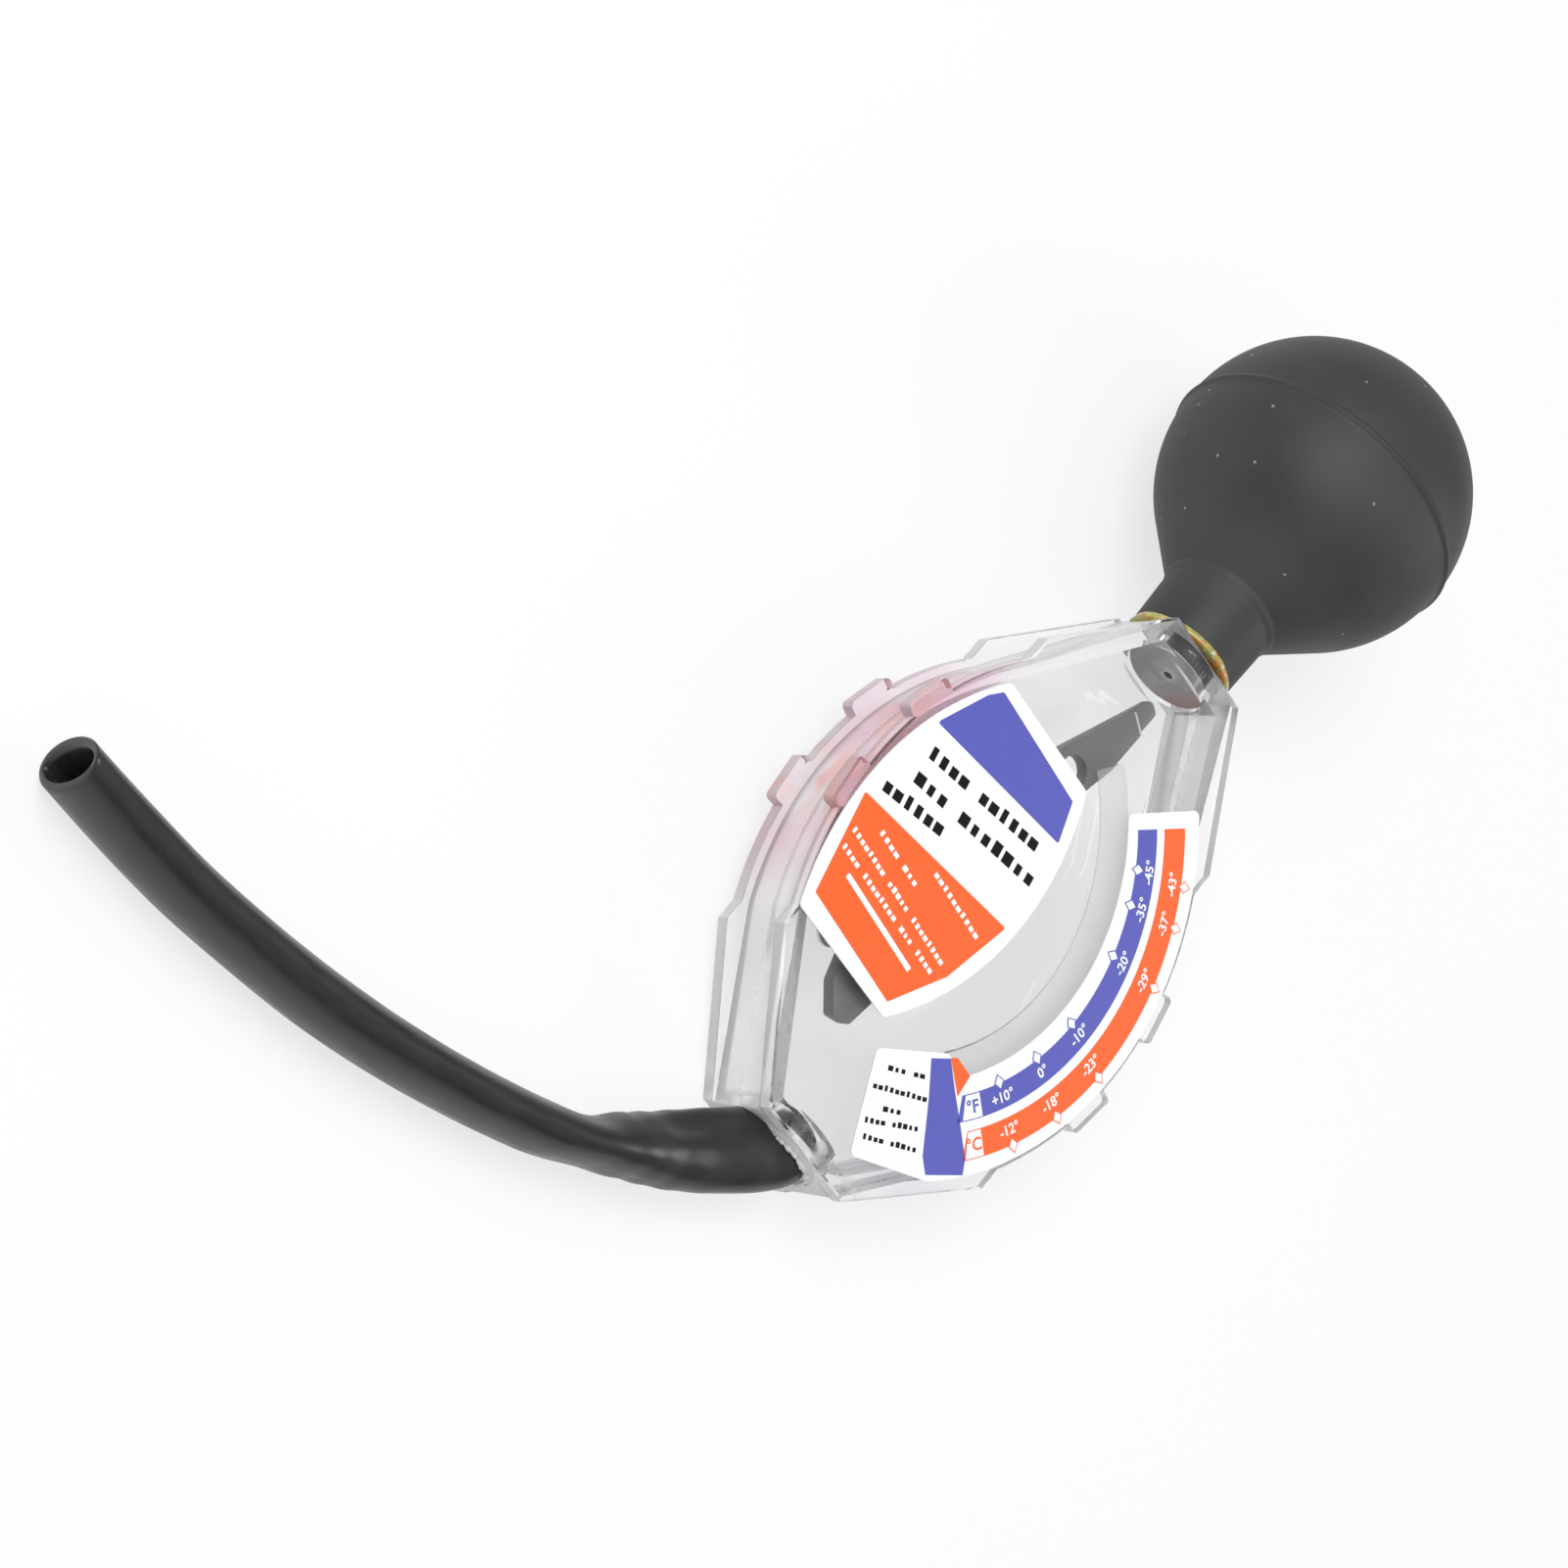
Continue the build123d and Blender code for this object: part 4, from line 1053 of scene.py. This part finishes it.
def rounded(corners, rounding, steps=5):
    """A closed outline whose corners, but for those that hardly turn, become arcs."""
    outline = []
    for before, here, after in zip(corners[-1:] + corners[:-1], corners, corners[1:] + corners[:1]):
        corner = Vector(here)
        back_way = (Vector(before) - corner).normalized()
        on_way = (Vector(after) - corner).normalized()
        half = back_way.angle(on_way, pi) / 2
        if half > radians(SHARPEST_KEPT):
            outline.append(corner)
            continue
        middle = corner + (back_way + on_way).normalized() * rounding / sin(half)
        first = (corner + back_way * rounding / tan(half) - middle).normalized()
        last = (corner + on_way * rounding / tan(half) - middle).normalized()
        outline += [middle + rounding * first.slerp(last, step / steps) for step in range(steps + 1)]
    return outline


def band(inner, outer, start, end, steps=48):
    """The outline of a printed band round the scale's own centre, which lies beside the pivot."""
    outline = []
    for step in range(-steps, steps + 1):
        angle = radians(end - (end - start) * abs(step) / steps)
        radius = outer if step <= 0 else inner
        outline.append((SCALE_CENTRE[0] + radius * sin(angle), SCALE_CENTRE[1] + radius * cos(angle)))
    return outline


def printed_shape(name, outlines, finish, level):
    """Flat printed shapes, each a thin closed plate on the sticker, as one piece."""
    points, faces = [], []
    for outline in outlines:
        count, start = len(outline), len(points)
        points += [on_housing(across, along, level) for across, along in outline]
        points += [on_housing(across, along, level + PRINT_THICKNESS) for across, along in outline]
        faces.append(tuple(range(start + count - 1, start - 1, -1)))
        faces.append(tuple(range(start + count, start + 2 * count)))
        for number in range(count):
            on = (number + 1) % count
            faces.append((start + number, start + on, start + count + on, start + count + number))
    piece = make_piece(name, points, faces, finish)
    crease_at(piece, PLATE_CREASE)
    rides_on(piece, "housing", "printed_film")


name_blue = [(-29.5, 10.1), (-26.0, 19.7), (-24.3, 22.2), (-3.4, 21.2), (-0.7, 15.0)]
name_orange = [(-31.1, -6.2), (1.5, -0.6), (-1.0, -13.2), (-6.1, -23.4), (-26.7, -22.2)]
scale_bar = [from_pivot(*corner) for corner in (
    (34.2, 127.0), (38.9, 126.5), (44.1, 125.8), (49.2, 125.4), (51.4, 126.2), (50.6, 134.0), (47.9, 134.7),
    (39.5, 133.6), (33.8, 133.1))]
scale_tab = [from_pivot(*corner) for corner in ((34.1, 127.0), (34.3, 124.9), (37.4, 121.8), (39.9, 125.9))]
blue_band = band(37.85, 41.7, start=42.0, end=128.0)
orange_band = band(43.2, 47.4, start=42.0, end=127.4)
printed_shape("name_label_blue", [rounded(name_blue, CORNER_ROUND)], blue_ink, FIRST_PRINT)
printed_shape("name_label_orange", [rounded(name_orange, CORNER_ROUND)], orange_ink, FIRST_PRINT)
printed_shape("scale_label_blue", [blue_band, scale_bar], blue_ink, FIRST_PRINT)
printed_shape("scale_label_orange", [orange_band, scale_tab], orange_ink, FIRST_PRINT)
unit_squares = [band(38.0, 41.55, start=121.4, end=126.6, steps=4),
                band(43.35, 47.25, start=122.4, end=126.6, steps=4)]
printed_shape("unit_squares", unit_squares, white_ink, SECOND_PRINT)

# Marks: the scales' white diamonds with their coloured rims, and rows of small blocks in the
# rhythm of print. They are thin prisms set out on points, each with its own turn and size.
marks, given, ending = new_tree(
    "marks",
    [("Sides", "NodeSocketInt"), ("Corner Turn", "NodeSocketFloat"), ("Tilt", "NodeSocketFloat"),
     ("Middle", "NodeSocketVector"), ("Finish", "NodeSocketMaterial")],
)
prism = add_node(marks, "GeometryNodeMeshCylinder", inputs={"Radius": 1.0, "Depth": 1.0},
                 links={"Vertices": given["Sides"]})
squared = add_node(marks, "ShaderNodeCombineXYZ", links={"Z": given["Corner Turn"]})
prism_turned = add_node(marks, "GeometryNodeTransform",
                        links={"Geometry": prism.outputs["Mesh"], "Rotation": squared.outputs[0]})
turn_given = add_node(marks, "GeometryNodeInputNamedAttribute", {"data_type": "FLOAT"}, {"Name": "turn"})
size_given = add_node(marks, "GeometryNodeInputNamedAttribute", {"data_type": "FLOAT_VECTOR"},
                      {"Name": "size"})
facing_turn = add_node(marks, "ShaderNodeCombineXYZ", links={"Z": turn_given.outputs["Attribute"]})
set_out = add_node(marks, "GeometryNodeInstanceOnPoints",
                   links={"Points": given["Geometry"], "Instance": prism_turned.outputs[0],
                          "Rotation": facing_turn.outputs[0], "Scale": size_given.outputs["Attribute"]})
real = add_node(marks, "GeometryNodeRealizeInstances", links={"Geometry": set_out.outputs[0]})
marks.links.new(on_place(marks, real.outputs[0], given), ending.inputs[0])


def marked(name, rows, finish, level, squared_up=False):
    """Diamonds, or blocks when squared up, from rows of across, along, two half sizes and degrees."""
    sizes, turns, places = [], [], []
    corner, corner_turn = (sqrt(2), pi / 4) if squared_up else (1, 0.0)
    for across, along, half_width, half_height, turn in rows:
        places.append(Vector((across, along, level + PRINT_THICKNESS / 2)) * MM)
        sizes += (half_width * corner * MM, half_height * corner * MM, PRINT_THICKNESS * MM)
        turns.append(radians(turn))
    piece = grown(name, marks, places, [],
                  {"Sides": 4, "Corner Turn": corner_turn, "Tilt": TILT, "Middle": HOUSING_MIDDLE,
                   "Finish": finish},
                  {"size": ("FLOAT_VECTOR", sizes), "turn": ("FLOAT", turns)})
    crease_at(piece, PLATE_CREASE)
    rides_on(piece, "housing", "printed_film")


FAHRENHEIT = ((114.4, "+10°"), (103.1, "0°"), (91.3, "-10°"),
              (73.0, "-20°"), (61.2, "-35°"), (53.4, "-45°"))
CELSIUS = ((114.7, "-12°"), (104.1, "-18°"), (92.9, "-23°"),
           (73.3, "-29°"), (62.0, "-37°"), (54.6, "-43°"))
FAHRENHEIT_MARKS_AT = 39.9
CELSIUS_MARKS_AT = 49.7
DIAMOND = (0.75, 1.0)
DIAMOND_RIM = (0.22, 0.27)


def diamonds(radius, readings, rim=(0, 0)):
    """Rows of diamonds at a distance from the pivot, with a rim's width added to their sizes."""
    half_width, half_height = DIAMOND[0] + rim[0], DIAMOND[1] + rim[1]
    return [(*from_pivot(radius, angle), half_width, half_height, -angle) for angle, _ in readings]


marked("fahrenheit_rims", diamonds(FAHRENHEIT_MARKS_AT, FAHRENHEIT, DIAMOND_RIM), blue_ink, SECOND_PRINT)
marked("celsius_rims", diamonds(CELSIUS_MARKS_AT, CELSIUS, DIAMOND_RIM), orange_ink, SECOND_PRINT)
all_marks = diamonds(FAHRENHEIT_MARKS_AT, FAHRENHEIT) + diamonds(CELSIUS_MARKS_AT, CELSIUS)
marked("scale_diamonds", all_marks, white_ink, THIRD_PRINT)

NARROWEST_BLOCK = 0.24
WIDER_BLOCK = 0.05
BLOCK_HEIGHTS = (1.0, 0.78, 0.78, 0.9)


def blocks(start, end, height, groups):
    """A line of small upright blocks between two points, set in groups of different lengths."""
    way = Vector(end) - Vector(start)
    turn = atan2(way.y, way.x)
    up = Vector((-sin(turn), cos(turn)))
    pitch = way.length / (sum(groups) + len(groups) - 1)
    kinds = len(BLOCK_HEIGHTS)
    row, at = [], 0.5
    for count in groups:
        for number in range(count):
            half_width = NARROWEST_BLOCK + WIDER_BLOCK * ((number * 5 + count) % kinds)
            tall = BLOCK_HEIGHTS[(number * 3 + count) % kinds]
            middle = Vector(start) + way.normalized() * pitch * at + up * height * (tall - 1) / 2
            row.append((middle.x, middle.y, pitch * half_width, height * tall / 2, degrees(turn)))
            at += 1
        at += 1
    return row


# Each line's start and end on the label, the height of its blocks, and how many each group has
BLACK_LINES = (
    ((-27.6, 6.3), (-3.0, 11.9), 2.1, (4, 6)), ((-26.7, 2.0), (0.4, 7.8), 2.1, (3, 7)),
    ((-29.8, -3.0), (-17.0, 0.4), 2.1, (6,)), ((0.9, -29.6), (6.9, -25.6), 0.85, (3, 2)),
    ((0.8, -33.2), (9.6, -27.6), 0.85, (10,)), ((4.6, -34.2), (7.6, -32.1), 0.85, (3,)),
    ((3.3, -37.6), (11.6, -31.5), 0.85, (4, 5)), ((4.8, -39.4), (13.6, -33.8), 0.85, (4, 5)))
WHITE_LINES = (
    ((-25.2, -7.9), (-14.6, -8.5), 0.95, (4, 3)), ((-13.8, -4.7), (-1.1, -5.4), 0.95, (10,)),
    ((-28.9, -11.2), (-2.9, -12.6), 0.95, (8, 5, 8)), ((-28.4, -14.1), (-3.4, -14.9), 0.95, (4, 8, 3, 4)))
UNDERLINE = (-15.6, -17.0, 8.95, 0.45, -3.5)
black_rows = [block for line in BLACK_LINES for block in blocks(*line)]
marked("black_bars", black_rows, black_ink, FIRST_PRINT, squared_up=True)
white_rows = [block for line in WHITE_LINES for block in blocks(*line)]
marked("white_bars", white_rows + [UNDERLINE], white_ink, SECOND_PRINT, squared_up=True)

# Numbers: the scales' temperatures, printed in white on their coloured bands, and the signs of
# their units. The plain type stands upright for someone who reads round the pivot.
NUMBER_SIZE = 2.2
SIGN_SIZE = 2.7
TYPE_WEIGHT = 0.02
TYPE_STEPS = 3
TYPE_JOINED_WITHIN = 0.0005 * MM
FAHRENHEIT_AT = 42.3
CELSIUS_AT = 47.3


def lettering(name, rows, finish, level):
    """Numbers and unit signs from rows of text, radius, angle and size, as one piece."""
    points, faces = [], []
    for text, radius, angle, size in rows:
        curve = bpy.data.curves.new("figure", "FONT")
        curve.body = text
        curve.size = size
        curve.resolution_u = TYPE_STEPS
        curve.extrude = PRINT_THICKNESS / 2
        curve.offset = TYPE_WEIGHT * size
        curve.align_x = "CENTER"
        curve.align_y = "CENTER"
        holder = set_in_scene("figure", curve)
        figure = plain_mesh(holder)
        across, along = from_pivot(radius, angle)
        right = Vector((-cos(radians(angle)), sin(radians(angle))))
        start = len(points)
        for vertex in figure.vertices:
            place = Vector((across, along)) + right * vertex.co.x + Vector((-right.y, right.x)) * vertex.co.y
            points.append(on_housing(place.x, place.y, level + PRINT_THICKNESS / 2 + vertex.co.z))
        faces += [tuple(start + corner for corner in polygon.vertices) for polygon in figure.polygons]
        bpy.data.objects.remove(holder)
        bpy.data.meshes.remove(figure)
    piece = make_piece(name, points, faces, finish)
    form = bmesh.new()
    form.from_mesh(piece.data)
    bmesh.ops.remove_doubles(form, verts=form.verts, dist=TYPE_JOINED_WITHIN)
    form.to_mesh(piece.data)
    form.free()
    faced_out(piece)
    crease_at(piece, PLATE_CREASE)
    rides_on(piece, "housing", "printed_film")


numbers = [(text, FAHRENHEIT_AT, angle, NUMBER_SIZE) for angle, text in FAHRENHEIT]
numbers += [(text, CELSIUS_AT, angle, NUMBER_SIZE) for angle, text in CELSIUS]
lettering("scale_numbers", numbers, white_ink, SECOND_PRINT)
lettering("fahrenheit_sign", [("°F", 42.0, 122.3, SIGN_SIZE)], blue_ink, THIRD_PRINT)
lettering("celsius_sign", [("°C", 47.5, 123.1, SIGN_SIZE)], orange_ink, THIRD_PRINT)

# The table top is plain pale laminate under soft light. What the camera, gloss and clear
# plastic see of it is mostly white, and the rest keeps the tester's soft shadow.
LAMINATE = (0.88, 0.88, 0.88, 1)
LAMINATE_PALE = (0.91, 0.91, 0.91, 1)
LAMINATE_GLOW = 0.74
WHITE = (1, 1, 1, 1)
TABLE_REACH = 3
table_finish = bpy.data.materials.new("table_top")
table_finish.use_nodes = True
tree = table_finish.node_tree
tree.nodes.clear()
rays = tree.nodes.new("ShaderNodeLightPath").outputs
seen = sum_of(tree, "MAXIMUM", rays["Is Glossy Ray"], rays["Is Transmission Ray"])
seen = sum_of(tree, "MAXIMUM", seen, rays["Is Camera Ray"])
mottle = add_node(tree, "ShaderNodeTexNoise", inputs={"Scale": 9.0, "Detail": 2.0})
tree.links.new(tree.nodes.new("ShaderNodeTexCoord").outputs["Object"], mottle.inputs["Vector"])
laminate = tinted(tree, LAMINATE, LAMINATE_PALE, mottle.outputs["Fac"])
diffuse = add_node(tree, "ShaderNodeBsdfDiffuse", links={"Color": laminate})
glow = add_node(tree, "ShaderNodeEmission", inputs={"Color": WHITE, "Strength": 1.0})
mixed = add_node(tree, "ShaderNodeMixShader",
                 links={"Fac": sum_of(tree, "MULTIPLY", seen, LAMINATE_GLOW), 1: diffuse.outputs[0],
                        2: glow.outputs[0]})
add_node(tree, "ShaderNodeOutputMaterial", links={"Surface": mixed.outputs[0]})
mesh = bpy.data.meshes.new("table_top")
table_corners = [(-TABLE_REACH, -TABLE_REACH, 0), (TABLE_REACH, -TABLE_REACH, 0),
                 (TABLE_REACH, TABLE_REACH, 0), (-TABLE_REACH, TABLE_REACH, 0)]
mesh.from_pydata(table_corners, [], [(0, 1, 2, 3)])
mesh.materials.append(table_finish)
table = set_in_scene("table_top", mesh)

# The studio is a pale tent, darker towards the floor, with two soft boxes in it. Clear plastic
# sees it as near white, and the camera as white.
TENT_STRENGTH = 0.56
TENT_HEIGHTS = (0.0, 0.8)
TENT_SHARES = (0.25, 1.0)
CLEAR_VIEW_STRENGTH = 0.92
world = bpy.data.worlds.new("studio")
scene.world = world
world.use_nodes = True
tree = world.node_tree
tree.nodes.clear()
way = add_node(tree, "ShaderNodeSeparateXYZ",
               links={0: tree.nodes.new("ShaderNodeTexCoord").outputs["Generated"]})
rays = tree.nodes.new("ShaderNodeLightPath").outputs
tent = add_node(tree, "ShaderNodeBackground", inputs={"Strength": TENT_STRENGTH},
                links={"Color": eased(tree, way.outputs["Z"], *TENT_HEIGHTS, *TENT_SHARES)})
clear_view = add_node(tree, "ShaderNodeBackground", inputs={"Color": WHITE, "Strength": CLEAR_VIEW_STRENGTH})
white = add_node(tree, "ShaderNodeBackground", inputs={"Color": WHITE, "Strength": 1.0})
through = add_node(tree, "ShaderNodeMixShader",
                   links={"Fac": rays["Is Transmission Ray"], 1: tent.outputs[0], 2: clear_view.outputs[0]})
choice = add_node(tree, "ShaderNodeMixShader",
                  links={"Fac": rays["Is Camera Ray"], 1: through.outputs[0], 2: white.outputs[0]})
add_node(tree, "ShaderNodeOutputWorld", links={"Surface": choice.outputs[0]})


def soft_lamp(name, place, aim, size, power_watts):
    """A square soft box aimed at a point."""
    data = bpy.data.lights.new(name, "AREA")
    data.shape = "SQUARE"
    data.size = size
    data.energy = power_watts
    lamp = set_in_scene(name, data)
    aimed = (Vector(aim) - Vector(place)).to_track_quat("-Z", "Y").to_matrix().to_4x4()
    lamp.matrix_world = Matrix.Translation(place) @ aimed


soft_lamp("key", place=(-0.45, -0.08, 0.75), aim=(0, -0.03, 0), size=0.5, power_watts=5.0)
soft_lamp("side", place=(0.7, 0.35, 0.5), aim=(0, 0, 0), size=0.4, power_watts=1.6)

scene.view_settings.view_transform = "Standard"
